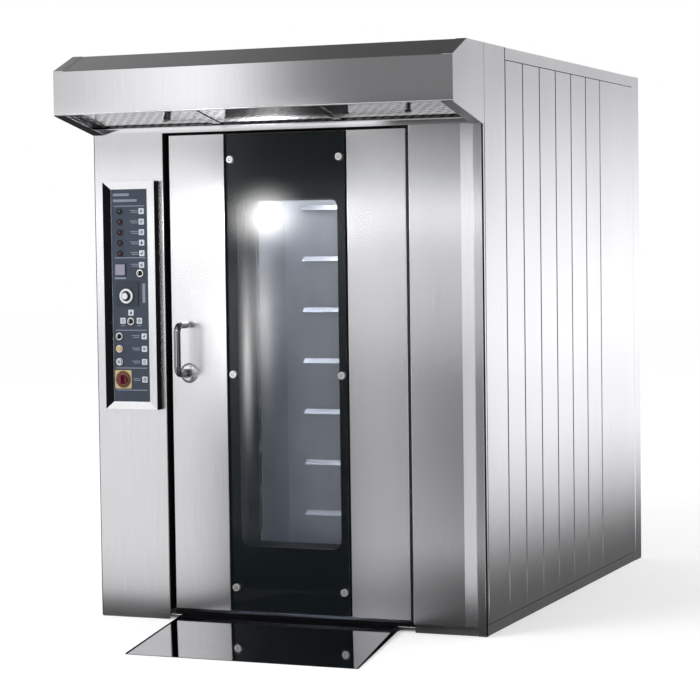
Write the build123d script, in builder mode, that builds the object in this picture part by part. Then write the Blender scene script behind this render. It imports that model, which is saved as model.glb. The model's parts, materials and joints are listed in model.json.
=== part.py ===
from build123d import *
import os
from math import atan2, cos, degrees, hypot, pi, radians, sin

os.makedirs("parts", exist_ok=True)

# Overall size of the cabinet and how far the ramp reaches in front of it
body_width = 1610
body_depth = 2210
body_height = 2200
ramp_length = 725

# Sheets, plates and clearances
skin = 1.5
liner = 1.5
plate = 4
bend = 3
seat_gap = 0.3
running_gap = 0.05

# Front plane, rear plane and sides, with the origin under the middle of the whole outline
front = (ramp_length - body_depth) / 2
rear = front + body_depth
half = body_width / 2

# Front wall and the opening for the door
wall_depth = 130
opening_width = 1021
opening_centre = 6
header_drop = 296
header_z = body_height - header_drop
opening_left = opening_centre - opening_width / 2
opening_right = opening_centre + opening_width / 2

# Door
door_gap = 17.5
door_recess = 15
door_bottom = 46
door_top = header_z - 11
skin_depth = 15
pan_depth = 85
skin_width = 240
skin_bend = 3
door_left = opening_left + door_gap
door_right = opening_right - door_gap
door_face = front + door_recess
pan_front = door_face + skin_depth
pan_back = pan_front + pan_depth

# Glass, its clear window and its point fixings
glass_width = 492
glass_centre = opening_centre + 2
glass_proud = 3
glass_thickness = 8
window_width = 422
window_bottom = 294
window_head = 251
window_height = door_top - window_head - window_bottom
window_corner = 38
reveal_margin = 6
fixing_inset = 19.5
fixing_head = 98
fixing_foot = 93
fixing_cap_radius = 15
fixing_cap_height = 11
glass_left = glass_centre - glass_width / 2
glass_right = glass_centre + glass_width / 2
glass_front = door_face - glass_proud
glass_back = glass_front + glass_thickness
window_middle_z = window_bottom + window_height / 2
reveal_width = window_width + 2 * reveal_margin
reveal_height = window_height + 2 * reveal_margin
fixing_pitch = (door_top - fixing_head - door_bottom - fixing_foot) / 2
fixing_middle_z = door_bottom + fixing_foot + fixing_pitch

# Door pivot and gasket
pivot_from_edge = 40
pivot_from_face = 35
pin_radius = 10
bush_radius = 17
bush_length = 34
pin_length = 30
bracket_thickness = 8
gasket_inset = 42
gasket_width = 12
pivot_x = door_right - pivot_from_edge
pivot_y = door_face + pivot_from_face

# Door stop behind the door
stop_front = front + wall_depth
stop_back = stop_front + plate
stop_margin = 59
stop_left = door_left + stop_margin
stop_right = door_right - stop_margin
stop_top = door_top - stop_margin

# Handle and latch
spindle_x = -412
spindle_z = 970
spindle_radius = 10
handle_pitch = 188
handle_reach = 100
handle_radius = 13.5
handle_bend = 30
handle_end_gap = 19
rosette_radius = 39
rosette_height = 12
rosette_dome = 34
rosette_rim = 6
hub_gap = 6
hub_lap = 5
hub_depth = 12
bar_end_round = 4
tongue_reach = 34
tongue_width = 16
tongue_rest = 35
cam_thickness = 8
cam_front = stop_back + 2
cam_wall = 3

# Base
rail_height = 34
rail_width = 40
rail_wall = 3
rail_inset = 4
toe_recess = 14
floor_top = rail_height + plate
plinth_top = 40

# Chamber and heater compartment
liner_x = 690
duct_x = 630
ceiling_z = header_z - 14
chamber_depth = 1316
shelf_z = 358
insulated_shelf = 68
rear_insulation = 138
air_wall_front = stop_back + chamber_depth
air_wall_back = air_wall_front + liner
liner_back = rear - rear_insulation

# Roof, plenum and hood
parapet = 50
deck_top = body_height - parapet
plenum_depth = 282
plenum_height = 130
plenum_floor = deck_top - plenum_height
hood_reach = 310
fascia_drop = 66
fascia_height = 166
fascia_top = body_height - fascia_drop
fascia_bottom = fascia_top - fascia_height
peak_reach = 154
cheek_foot = header_z + 1
hood_bend = 6
cheek_overlap = 30
cheek_flange = 40
hem = 20
hood_front = front - hood_reach
hood_peak = front - peak_reach

# Side cladding
corner_return = 30
first_seam = 282
panel_pitch = 215
seam_count = 7
seam_gap = 3
seam_bevel = 5
panel_return = 20
rear_post = 100
rear_post_leg = 60

# Control panel
bezel_width = 228
bezel_height = 895
bezel_proud = 35
bezel_centre_x = -642
bezel_centre_z = header_z - 630.5
bezel_rim = 3
bezel_bevel = 8
plate_width = 158
plate_height = 832
window_wall = 3
panel_thickness = 3
panel_face = front - bezel_proud + bezel_bevel + window_wall

# Turntable and its drive
turntable_radius = 500
turntable_thickness = 5
turntable_top = 46
shaft_radius = 20
chain_pitch = 12.7
driven_teeth = 45
drive_teeth = 15
sprocket_low = 10
sprocket_thickness = 8
motor_shaft_radius = 12.5
turntable_y = (stop_back + air_wall_front) / 2
fan_y = (air_wall_back + liner_back) / 2

# Circulation fan
wheel_radius = 220
wheel_height = 120
wheel_drop = 370
wheel_low = ceiling_z - wheel_drop
inlet_radius = 130
blade_count = 10
blade_thickness = 3
fan_shaft_radius = 19
wheel_plate = 4
baffle_z = wheel_low - 30

# Extractor and flue
spigot_radius = 100
spigot_length = 15
spigot_step = 1
duct_wall = 2
duct_radius = spigot_radius - spigot_step
extractor_y = front + 170
extractor_blades = 7
flue_radius = 52
flue_x = 425 - half
flue_y = front + 208
flap_z = plenum_floor + 52


def facing(y):
    """Vertical plane across the oven at depth y, whose normal looks out of the front."""
    return Plane.XZ.offset(-y)


def span(x0, x1, y0, y1, mode=Mode.ADD):
    """Rectangle between two pairs of edges in the sketch in hand."""
    with Locations(((x0 + x1) / 2, (y0 + y1) / 2)):
        Rectangle(x1 - x0, y1 - y0, mode=mode)


def folded(points, thickness=skin, corner=bend):
    """Section of a folded sheet, whose outer face runs along the points and turns round each corner."""
    with BuildLine() as run:
        if corner:
            FilletPolyline(*points, radius=corner)
        else:
            Polyline(*points)
        offset(amount=thickness, side=Side.LEFT)
    make_face(run.edges())


def save(part, name):
    part.label = name
    export_step(part, f"parts/{name}.step")


# Base frame: two long side rails, cross rails, floor bearers and the toe rail under the right jamb
rail_outer = half - rail_inset
rail_inner = rail_outer - rail_width
bearer_x = 330
front_rail_y = stop_front + rail_width / 2
rear_rail_y = rear - rail_inset - rail_width / 2
with BuildPart() as base_frame:
    with BuildSketch(facing(front + toe_recess)):
        for middle in (rail_inner + rail_width / 2, -rail_inner - rail_width / 2):
            with Locations((middle, rail_height / 2)):
                Rectangle(rail_width, rail_height)
                Rectangle(rail_width - 2 * rail_wall, rail_height - 2 * rail_wall, mode=Mode.SUBTRACT)
    extrude(amount=-(rear - rail_inset - front - toe_recess))
    for cross_y in (front_rail_y, rear_rail_y):
        with BuildSketch(Plane.YZ.offset(seat_gap - rail_inner)):
            with Locations((cross_y, rail_height / 2)):
                Rectangle(rail_width, rail_height)
                Rectangle(rail_width - 2 * rail_wall, rail_height - 2 * rail_wall, mode=Mode.SUBTRACT)
        extrude(amount=2 * (rail_inner - seat_gap))
    with BuildSketch(facing(front_rail_y + rail_width / 2 + seat_gap)):
        for middle in (-bearer_x, bearer_x):
            with Locations((middle, rail_height / 2)):
                Rectangle(rail_width, rail_height)
                Rectangle(rail_width - 2 * rail_wall, rail_height - 2 * rail_wall, mode=Mode.SUBTRACT)
    extrude(amount=-(rear_rail_y - front_rail_y - rail_width - 2 * seat_gap))
    with BuildSketch(Plane.YZ.offset(opening_right + skin)):
        with Locations((front + toe_recess + rail_width / 2, rail_height / 2)):
            Rectangle(rail_width, rail_height)
            Rectangle(rail_width - 2 * rail_wall, rail_height - 2 * rail_wall, mode=Mode.SUBTRACT)
    extrude(amount=rail_inner - opening_right - skin - seat_gap)
save(base_frame.part, "base_frame")

# Chamber floor with the holes for the turntable bearing and for the gearmotor shaft
floor_half = half - panel_return - seat_gap
bearing_spigot = 44
motor_hole = 30
with BuildPart() as chamber_floor:
    with BuildSketch(Plane.XY.offset(rail_height)):
        span(-floor_half, floor_half, stop_front, rear - panel_return - skin)
        with Locations((0, turntable_y)):
            Circle(bearing_spigot + seat_gap, mode=Mode.SUBTRACT)
        with Locations((0, fan_y)):
            Circle(motor_hole, mode=Mode.SUBTRACT)
    extrude(amount=plate)
save(chamber_floor.part, "chamber_floor")

# Threshold: a folded sill that rises from the ramp to the chamber floor
sill_front = front + 20
sill_low = 20
sill_land = 12
sill_thickness = 3
with BuildPart() as threshold:
    with BuildSketch(Plane.YZ.offset(opening_left + seat_gap)):
        folded(
            [
                (sill_front, 0),
                (sill_front, sill_low),
                (stop_front - sill_land, floor_top),
                (stop_front, floor_top),
            ][::-1],
            sill_thickness,
            sill_thickness + 1,
        )
    extrude(amount=opening_width - 2 * seat_gap)
save(threshold.part, "threshold")

# Entry ramp: a thin sloping plate on side and cross ribs, skewed in plan as it lies
ramp_width = 900
ramp_skew = 136
ramp_plate = 3
ramp_lip = 2
ramp_rib = 3
ramp_front = front - ramp_length
ramp_back = sill_front - seat_gap
ramp_centre = -4
ramp_run = ramp_back - ramp_front
ramp_tip = ramp_centre + ramp_skew
ramp_start = ramp_centre - ramp_skew * (ramp_back - front) / ramp_length
ramp_half = ramp_width / 2
with BuildPart() as ramp:
    with BuildSketch(Plane.YZ.offset(-body_width)):
        with BuildLine():
            Polyline(
                (ramp_front, 0),
                (ramp_front, ramp_lip),
                (ramp_back, sill_low),
                (ramp_back, 0),
                close=True,
            )
        make_face()
    extrude(amount=2 * body_width)
    with BuildSketch():
        with BuildLine():
            Polyline(
                (ramp_tip - ramp_half, ramp_front),
                (ramp_tip + ramp_half, ramp_front),
                (ramp_start + ramp_half, ramp_back),
                (ramp_start - ramp_half, ramp_back),
                close=True,
            )
        make_face()
    extrude(amount=sill_low, mode=Mode.INTERSECT)
    with BuildSketch(Plane.YZ.offset(-body_width)):
        with BuildLine():
            Polyline(
                (ramp_front + ramp_run / 3, 0),
                (ramp_front + ramp_run / 3, ramp_lip + (sill_low - ramp_lip) / 3 - ramp_plate),
                (ramp_back - ramp_rib, sill_low - ramp_plate),
                (ramp_back - ramp_rib, 0),
                close=True,
            )
        make_face()
    extrude(amount=2 * body_width, mode=Mode.SUBTRACT)
    with BuildSketch():
        for side in (-1, 1):
            with BuildLine():
                Polyline(
                    (ramp_tip + side * ramp_half, ramp_front),
                    (ramp_tip + side * (ramp_half - ramp_rib), ramp_front),
                    (ramp_start + side * (ramp_half - ramp_rib), ramp_back),
                    (ramp_start + side * ramp_half, ramp_back),
                    close=True,
                )
            make_face()
    extrude(amount=ramp_lip)
save(ramp.part, "ramp")

# Control column: one sheet wrapped from the door opening round the left corner
cutout_width = bezel_width - 20
cutout_height = bezel_height - 20
with BuildPart() as control_column:
    with BuildSketch():
        folded(
            [
                (-half, front + corner_return),
                (-half, front),
                (opening_left, front),
                (opening_left, stop_front),
            ]
        )
    extrude(amount=header_z)
    with BuildSketch(facing(front - skin)):
        with Locations((bezel_centre_x, bezel_centre_z)):
            Rectangle(cutout_width, cutout_height)
    extrude(amount=-3 * skin, mode=Mode.SUBTRACT)
save(control_column.part, "control_column")

# Right jamb: flat face, then a shallow facet that falls back to the corner post
post_face = 35
facet_width = 48
facet_start = half - post_face - facet_width
facet_depth = 16
with BuildPart() as right_jamb:
    with BuildSketch(Plane.XY.offset(rail_height)):
        folded(
            [
                (opening_right, stop_front),
                (opening_right, front),
                (facet_start, front),
                (half - post_face, front + facet_depth),
            ]
        )
    extrude(amount=header_z - rail_height)
save(right_jamb.part, "right_jamb")

# Corner posts: a slim one at the front right, and wide ones at both rear corners
with BuildPart() as corner_posts:
    with BuildSketch():
        folded(
            [
                (half - post_face, front + facet_depth + skin),
                (half - post_face, front),
                (half, front),
                (half, front + corner_return),
            ]
        )
    extrude(amount=header_z)
    with BuildSketch():
        folded(
            [
                (half - panel_return, rear - rear_post),
                (half - seam_bevel, rear - rear_post),
                (half, rear - rear_post + seam_bevel),
                (half, rear),
                (half - rear_post_leg, rear),
                (half - rear_post_leg, rear - panel_return),
            ]
        )
        mirror(about=Plane.YZ)
    extrude(amount=body_height)
    with BuildSketch():
        span(-rail_outer - seat_gap, rail_outer + seat_gap, front + toe_recess - seat_gap, rear - rail_inset + seat_gap)
    extrude(amount=floor_top, mode=Mode.SUBTRACT)
save(corner_posts.part, "corner_posts")

# Header across the whole front, with a return round each corner and one over the opening
with BuildPart() as header_panel:
    with BuildSketch(Plane.XY.offset(header_z)):
        folded(
            [
                (-half, front + corner_return),
                (-half, front),
                (half, front),
                (half, front + corner_return),
            ]
        )
    extrude(amount=plenum_floor - skin - header_z)
    with BuildSketch(Plane.XY.offset(header_z)):
        span(opening_left, opening_right, front, stop_front)
    extrude(amount=skin)
save(header_panel.part, "header_panel")

# Door stop: two stiles and a head that the gasket closes against
stop_outer = liner_x + liner
with BuildPart() as door_stop_frame:
    with BuildSketch(facing(stop_front)):
        span(-stop_outer, stop_left, floor_top, ceiling_z + liner)
        span(stop_right, stop_outer, floor_top, ceiling_z + liner)
    extrude(amount=-plate)
    with BuildSketch(facing(stop_front)):
        span(stop_left + seat_gap, stop_right - seat_gap, stop_top, ceiling_z + liner)
    extrude(amount=-plate)
save(door_stop_frame.part, "door_stop_frame")


def side_cassette(y0, y1):
    """Plan section of one bevelled side cassette."""
    folded(
        [
            (half - panel_return, y0),
            (half - seam_bevel, y0),
            (half, y0 + seam_bevel),
            (half, y1 - seam_bevel),
            (half - seam_bevel, y1),
            (half - panel_return, y1),
        ],
        corner=0,
    )


# Side cladding: bevelled cassettes between the front corner and the rear post
seams = [front + first_seam + k * panel_pitch for k in range(seam_count)]
last_seam = rear - rear_post
with BuildPart() as side_panels:
    with BuildSketch(Plane.XY.offset(plinth_top + seam_gap)):
        side_cassette(front + corner_return + seam_gap, seams[0] - seam_gap / 2)
        mirror(about=Plane.YZ)
    extrude(amount=body_height - skin - plinth_top - seam_gap)
    with BuildSketch(Plane.XY.offset(plinth_top + seam_gap)):
        for y0, y1 in zip(seams, seams[1:] + [last_seam]):
            side_cassette(y0 + seam_gap / 2, y1 - seam_gap / 2)
        mirror(about=Plane.YZ)
    extrude(amount=deck_top - plinth_top - seam_gap)
save(side_panels.part, "side_panels")

# Rear cladding: four cassettes above a vented service cover
rear_panel_count = 4
rear_half = half - rear_post_leg
rear_pitch = 2 * rear_half / rear_panel_count
service_top = 330
vent_width = 300
vent_height = 12
vent_pitch = 28
with BuildPart() as rear_panels:
    with BuildSketch(Plane.XY.offset(service_top)):
        for k in range(rear_panel_count):
            x0 = -rear_half + k * rear_pitch + seam_gap / 2
            x1 = x0 + rear_pitch - seam_gap
            folded(
                [
                    (x0, rear - panel_return),
                    (x0, rear - seam_bevel),
                    (x0 + seam_bevel, rear),
                    (x1 - seam_bevel, rear),
                    (x1, rear - seam_bevel),
                    (x1, rear - panel_return),
                ][::-1],
                corner=0,
            )
    extrude(amount=deck_top - service_top)
    with BuildSketch(facing(rear)):
        span(-rear_half, rear_half, plinth_top + seam_gap, service_top - seam_gap)
        for vent_x in (-rear_half / 2, rear_half / 2):
            with Locations((vent_x, (plinth_top + service_top) / 2)):
                with GridLocations(0, vent_pitch, 1, 5):
                    Rectangle(vent_width, vent_height, mode=Mode.SUBTRACT)
    extrude(amount=skin)
save(rear_panels.part, "rear_panels")

# Roof deck between the plenum and the rear, with its service holes
inlet_margin = 90
gland_x = inlet_margin - liner_x
gland_y = rear - 430
gland_body = 20
inlet_x = gland_x
inlet_y = rear - 260
inlet_thread = 13.2
inlet_stem = 12
inlet_step = 6
shaft_tube = 32
with BuildPart() as roof_deck:
    with BuildSketch(Plane.XY.offset(deck_top - skin)):
        span(-half + panel_return, half - panel_return, front + plenum_depth + seam_gap, rear - panel_return)
        with Locations((0, fan_y)):
            Circle(shaft_tube + seat_gap, mode=Mode.SUBTRACT)
        with Locations((gland_x, gland_y)):
            Circle(gland_body + seat_gap, mode=Mode.SUBTRACT)
        with Locations((inlet_x, inlet_y)):
            Circle(inlet_stem + seat_gap, mode=Mode.SUBTRACT)
    extrude(amount=skin)
save(roof_deck.part, "roof_deck")

# Edge trims: top rails along the sides and the rear, and the plinth strips
trim_leg = 24
plinth_recess = 2
with BuildPart() as edge_trims:
    with BuildSketch(facing(front + plenum_depth + seam_gap)):
        folded(
            [
                (half, deck_top + seam_gap),
                (half, body_height),
                (half - trim_leg, body_height),
                (half - trim_leg, deck_top),
            ]
        )
        mirror(about=Plane.YZ)
    extrude(amount=-(rear - rear_post - front - plenum_depth - 2 * seam_gap))
    with BuildSketch(Plane.YZ.offset(-rear_half)):
        folded(
            [
                (rear - trim_leg, deck_top),
                (rear - trim_leg, body_height),
                (rear, body_height),
                (rear, deck_top + seam_gap),
            ][::-1]
        )
    extrude(amount=2 * rear_half)
    with BuildSketch():
        span(half - plinth_recess - skin, half - plinth_recess, front + corner_return, rear - rear_post)
        mirror(about=Plane.YZ)
        span(-rear_half, rear_half, rear - plinth_recess - skin, rear - plinth_recess)
    extrude(amount=plinth_top)
save(edge_trims.part, "edge_trims")

# Insulation slabs for the sides, roof, rear and the floor of the heater compartment
wool_outer = half - panel_return - 2
flue_hole = flue_radius + 2
with BuildPart() as insulation_slabs:
    with BuildSketch(Plane.XY.offset(floor_top)):
        span(liner_x + liner, wool_outer, stop_back, rear - panel_return - skin)
        mirror(about=Plane.YZ)
    extrude(amount=plenum_floor - skin - floor_top)
    with BuildSketch(Plane.YZ.offset(-liner_x)):
        with BuildLine():
            Polyline(
                (stop_back, ceiling_z + liner),
                (rear - panel_return - skin, ceiling_z + liner),
                (rear - panel_return - skin, deck_top - skin),
                (front + plenum_depth + seam_gap, deck_top - skin),
                (front + plenum_depth + seam_gap, plenum_floor - skin),
                (stop_back, plenum_floor - skin),
                close=True,
            )
        make_face()
    extrude(amount=2 * liner_x)
    with BuildSketch(Plane.XY.offset(ceiling_z)):
        with Locations((0, fan_y)):
            Circle(shaft_tube + seat_gap)
        with Locations((flue_x, flue_y)):
            Circle(flue_hole)
        with Locations((inlet_x, inlet_y)):
            Circle(inlet_stem + seat_gap)
        with Locations((gland_x, gland_y)):
            Circle(gland_body + seat_gap)
    extrude(amount=deck_top - ceiling_z, mode=Mode.SUBTRACT)
    with BuildSketch(Plane.XY.offset(shelf_z - insulated_shelf)):
        span(-liner_x, liner_x, liner_back + liner, rear - panel_return - skin)
    extrude(amount=ceiling_z + liner - shelf_z + insulated_shelf)
    with BuildSketch(Plane.XY.offset(shelf_z - insulated_shelf)):
        span(-liner_x, liner_x, air_wall_back, liner_back)
    extrude(amount=insulated_shelf)
save(insulation_slabs.part, "insulation_slabs")

# Chamber liner: side, ceiling and rear sheets, heater floor, and the fan baffle with its bell mouth
mouth_radius = 16
mouth_z = baffle_z + liner + mouth_radius
with BuildPart() as chamber_liner:
    with BuildSketch(Plane.XY.offset(floor_top)):
        span(liner_x, liner_x + liner, stop_back, liner_back + liner)
        mirror(about=Plane.YZ)
    extrude(amount=ceiling_z + liner - floor_top)
    with BuildSketch(Plane.XY.offset(ceiling_z)):
        span(seat_gap - liner_x, liner_x - seat_gap, stop_back, liner_back + liner)
        with Locations((0, fan_y)):
            Circle(shaft_tube + seat_gap, mode=Mode.SUBTRACT)
        with Locations((flue_x, flue_y)):
            Circle(flue_radius + seat_gap, mode=Mode.SUBTRACT)
        with Locations((inlet_x, inlet_y)):
            Circle(inlet_stem + seat_gap, mode=Mode.SUBTRACT)
    extrude(amount=liner)
    with BuildSketch(Plane.XY.offset(shelf_z)):
        span(seat_gap - liner_x, liner_x - seat_gap, liner_back, liner_back + liner)
    extrude(amount=ceiling_z - shelf_z - seat_gap)
    with BuildSketch(Plane.XY.offset(shelf_z)):
        span(seat_gap - liner_x, liner_x - seat_gap, air_wall_back, liner_back - seat_gap)
    extrude(amount=liner)
    with BuildSketch(Plane.XY.offset(baffle_z)):
        span(seat_gap - liner_x, liner_x - seat_gap, air_wall_back, liner_back - seat_gap)
        with Locations((0, fan_y)):
            Circle(inlet_radius + mouth_radius - liner, mode=Mode.SUBTRACT)
        with Locations((inlet_x, inlet_y)):
            Circle(inlet_stem + seat_gap, mode=Mode.SUBTRACT)
    extrude(amount=liner)
    with BuildSketch(Plane.XZ.offset(-fan_y)):
        with BuildLine():
            CenterArc((inlet_radius + mouth_radius, mouth_z), mouth_radius, 180, 90)
            CenterArc((inlet_radius + mouth_radius, mouth_z), mouth_radius + liner, 180, 90)
            Line((inlet_radius, mouth_z), (inlet_radius - liner, mouth_z))
            Line(
                (inlet_radius + mouth_radius, mouth_z - mouth_radius),
                (inlet_radius + mouth_radius, mouth_z - mouth_radius - liner),
            )
        make_face()
    revolve(axis=Axis((0, fan_y, 0), (0, 0, 1)))
save(chamber_liner.part, "chamber_liner")

# Side air ducts: slotted faces that blow across the chamber
duct_front = stop_back + 26
duct_flare = 20
slot_width = 24
slot_height = 150
slot_columns = 3
slot_rows = 8
slot_pitch_y = chamber_depth / (slot_columns + 0.65)
slot_pitch_z = (ceiling_z - floor_top) / (slot_rows + 1.5)
with BuildPart() as air_ducts:
    with BuildSketch(Plane.XY.offset(floor_top)):
        folded(
            [
                (duct_x, air_wall_front),
                (duct_x, duct_front + duct_flare),
                (liner_x - liner, duct_front),
            ],
            liner,
        )
    extrude(amount=ceiling_z - floor_top)
    with BuildSketch(Plane.YZ.offset(duct_x - liner)):
        with Locations((turntable_y, (floor_top + ceiling_z) / 2)):
            with GridLocations(slot_pitch_y, slot_pitch_z, slot_columns, slot_rows):
                Rectangle(slot_width, slot_height)
    extrude(amount=3 * liner, mode=Mode.SUBTRACT)
    mirror(about=Plane.YZ)
save(air_ducts.part, "air_ducts")

# Louvred air wall at the back of the chamber, each slot under a pressed hood with a lip below
louvre_first = 250
louvre_head = 269
louvre_count = 7
louvre_pitch = (ceiling_z - louvre_head - louvre_first) / (louvre_count - 1)
louvre_width = 2 * duct_x - 180
louvre_slot = 26
hood_throw = 24
hood_drop = 20
lip_throw = 8
feed_width = 44
feed_height = wheel_drop - 30
with BuildPart() as air_wall:
    with BuildSketch(facing(air_wall_front)):
        span(-liner_x, liner_x, floor_top, ceiling_z)
        for k in range(louvre_count):
            with Locations((0, louvre_first + k * louvre_pitch)):
                Rectangle(louvre_width, louvre_slot, mode=Mode.SUBTRACT)
        for side in (-1, 1):
            with Locations((side * (duct_x + liner_x) / 2, (baffle_z + ceiling_z) / 2)):
                Rectangle(feed_width, feed_height, mode=Mode.SUBTRACT)
    extrude(amount=-liner)
    with BuildSketch(Plane.YZ.offset(-louvre_width / 2)):
        for k in range(louvre_count):
            sill = louvre_first + k * louvre_pitch - louvre_slot / 2
            crown = sill + louvre_slot
            with BuildLine():
                Polyline(
                    (air_wall_back, crown),
                    (air_wall_front - hood_throw, crown - hood_drop),
                    (air_wall_front - hood_throw, crown - hood_drop + liner),
                    (air_wall_front, crown + liner),
                    (air_wall_back, crown + liner),
                    close=True,
                )
            make_face()
            with BuildLine():
                Polyline(
                    (air_wall_back, sill),
                    (air_wall_back, sill - liner),
                    (air_wall_front - lip_throw, sill - liner),
                    (air_wall_front - lip_throw, sill + 3 * liner),
                    (air_wall_front - lip_throw + liner, sill + 3 * liner),
                    (air_wall_front - lip_throw + liner, sill),
                    close=True,
                )
            make_face()
    extrude(amount=louvre_width)
save(air_wall.part, "air_wall")

# Heater bank: hairpin elements that hang forward from a terminal plate on the rear liner
element_radius = 6
hairpin_span = 56
hairpin_length = 430
hairpin_columns = 4
hairpin_rows = 2
hairpin_pitch_x = 130
hairpin_pitch_z = 300
bank_x = 120
bank_z = (shelf_z + baffle_z) / 2
terminal_thickness = 6
terminal_margin = 60
bank_width = (hairpin_columns - 1) * hairpin_pitch_x
bank_height = (hairpin_rows - 1) * hairpin_pitch_z
with BuildPart() as heater_bank:
    with BuildSketch(facing(liner_back)):
        with Locations((bank_x, bank_z)):
            Rectangle(bank_width + 2 * terminal_margin, bank_height + 2 * terminal_margin)
    extrude(amount=terminal_thickness)
    for column in range(hairpin_columns):
        for row in range(hairpin_rows):
            leg_x = bank_x - bank_width / 2 + column * hairpin_pitch_x
            low = bank_z - bank_height / 2 + row * hairpin_pitch_z - hairpin_span / 2
            root = liner_back - terminal_thickness
            tip = root - hairpin_length
            with BuildLine():
                Line((leg_x, root, low), (leg_x, tip, low))
                ThreePointArc(
                    (leg_x, tip, low),
                    (leg_x, tip - hairpin_span / 2, low + hairpin_span / 2),
                    (leg_x, tip, low + hairpin_span),
                )
                Line((leg_x, tip, low + hairpin_span), (leg_x, root, low + hairpin_span))
            with BuildSketch(Plane((leg_x, root, low), z_dir=(0, -1, 0))):
                Circle(element_radius)
            sweep()
save(heater_bank.part, "heater_bank")

# Steam generator: a cascade of angle troughs under a spray pipe fed from the roof inlet
trough_count = 6
trough_leg = 50
trough_lip = 3
trough_offset = 20
trough_length = 440
cascade_low = shelf_z + 82
cascade_head = 330
trough_pitch = (baffle_z - cascade_low - cascade_head) / trough_count
cascade_offset = 60
cascade_x = inlet_x + cascade_offset
end_plate = 3
end_half = 90
pipe_radius = 8
stub_length = 40
spray_z = cascade_low + trough_count * trough_pitch + trough_leg - 10
cascade_front = liner_back - 60 - trough_length
with BuildPart() as steam_generator:
    with BuildSketch(facing(cascade_front)):
        for k in range(trough_count):
            lean = cascade_x + (trough_offset if k % 2 else -trough_offset)
            base = cascade_low + k * trough_pitch
            with BuildLine():
                Polyline(
                    (lean - trough_leg, base + trough_leg),
                    (lean, base),
                    (lean + trough_leg, base + trough_leg),
                    (lean + trough_leg - trough_lip, base + trough_leg + trough_lip),
                    (lean, base + 2 * trough_lip),
                    (lean - trough_leg + trough_lip, base + trough_leg + trough_lip),
                    close=True,
                )
            make_face()
    extrude(amount=-trough_length)
    for end in (cascade_front, cascade_front + trough_length - end_plate):
        with BuildSketch(facing(end)):
            span(cascade_x - end_half, cascade_x + end_half, shelf_z + liner, spray_z - pipe_radius)
        extrude(amount=-end_plate)
    with BuildSketch(Plane.XY.offset(spray_z - pipe_radius)):
        with Locations((inlet_x, inlet_y)):
            Circle(pipe_radius)
    extrude(amount=deck_top - spray_z + pipe_radius)
    with BuildSketch(Plane.XY.offset(ceiling_z)):
        with Locations((inlet_x, inlet_y)):
            Circle(inlet_stem)
    extrude(amount=deck_top + inlet_step - ceiling_z)
    with BuildSketch(Plane.XY.offset(deck_top + inlet_step)):
        with Locations((inlet_x, inlet_y)):
            Circle(inlet_thread)
            Circle(pipe_radius, mode=Mode.SUBTRACT)
    extrude(amount=stub_length - inlet_step)
    with BuildSketch(Plane((inlet_x, inlet_y, spray_z), z_dir=(0, -1, 0))):
        Circle(pipe_radius)
    extrude(amount=inlet_y - cascade_front)
save(steam_generator.part, "steam_generator")

# Circulation motor on the roof, with its finned body, cowl and the shaft tube through the insulation
motor_flange = 220
flange_corner = 12
flange_bolt = 6.5
flange_bolt_inset = 18
cowl_lap = 4
cowl_edge = 8
fin_thickness = 4
flange_thickness = 8
pedestal_radius = 70
pedestal_height = 30
motor_radius = 72
motor_height = 110
cowl_height = 34
fin_count = 16
fin_depth = 7
flange_top = deck_top + flange_thickness
pedestal_top = flange_top + pedestal_height
motor_top = pedestal_top + motor_height
with BuildPart() as fan_motor:
    with BuildSketch(Plane.XY.offset(deck_top)):
        with Locations((0, fan_y)):
            RectangleRounded(motor_flange, motor_flange, flange_corner)
            with GridLocations(motor_flange - 2 * flange_bolt_inset, motor_flange - 2 * flange_bolt_inset, 2, 2):
                Circle(flange_bolt, mode=Mode.SUBTRACT)
    extrude(amount=flange_thickness)
    with BuildSketch(Plane.XY.offset(flange_top)):
        with Locations((0, fan_y)):
            Circle(pedestal_radius)
    extrude(amount=pedestal_height)
    with BuildSketch(Plane.XY.offset(pedestal_top)):
        with Locations((0, fan_y)):
            Circle(motor_radius - fin_depth)
            with PolarLocations(motor_radius - fin_depth, fin_count):
                Rectangle(2 * fin_depth, fin_thickness)
    extrude(amount=motor_height)
    with BuildSketch(Plane.XY.offset(motor_top)):
        with Locations((0, fan_y)):
            Circle(motor_radius + cowl_lap)
    extrude(amount=cowl_height)
    chamfer(faces().sort_by(Axis.Z)[-1].edges(), cowl_edge)
    with BuildSketch(Plane.XY.offset(ceiling_z)):
        with Locations((0, fan_y)):
            Circle(shaft_tube)
    extrude(amount=deck_top - ceiling_z)
    with BuildSketch(Plane.XY.offset(ceiling_z)):
        with Locations((0, fan_y)):
            Circle(fan_shaft_radius + running_gap)
    extrude(amount=pedestal_top - ceiling_z, mode=Mode.SUBTRACT)
save(fan_motor.part, "fan_motor")

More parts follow.
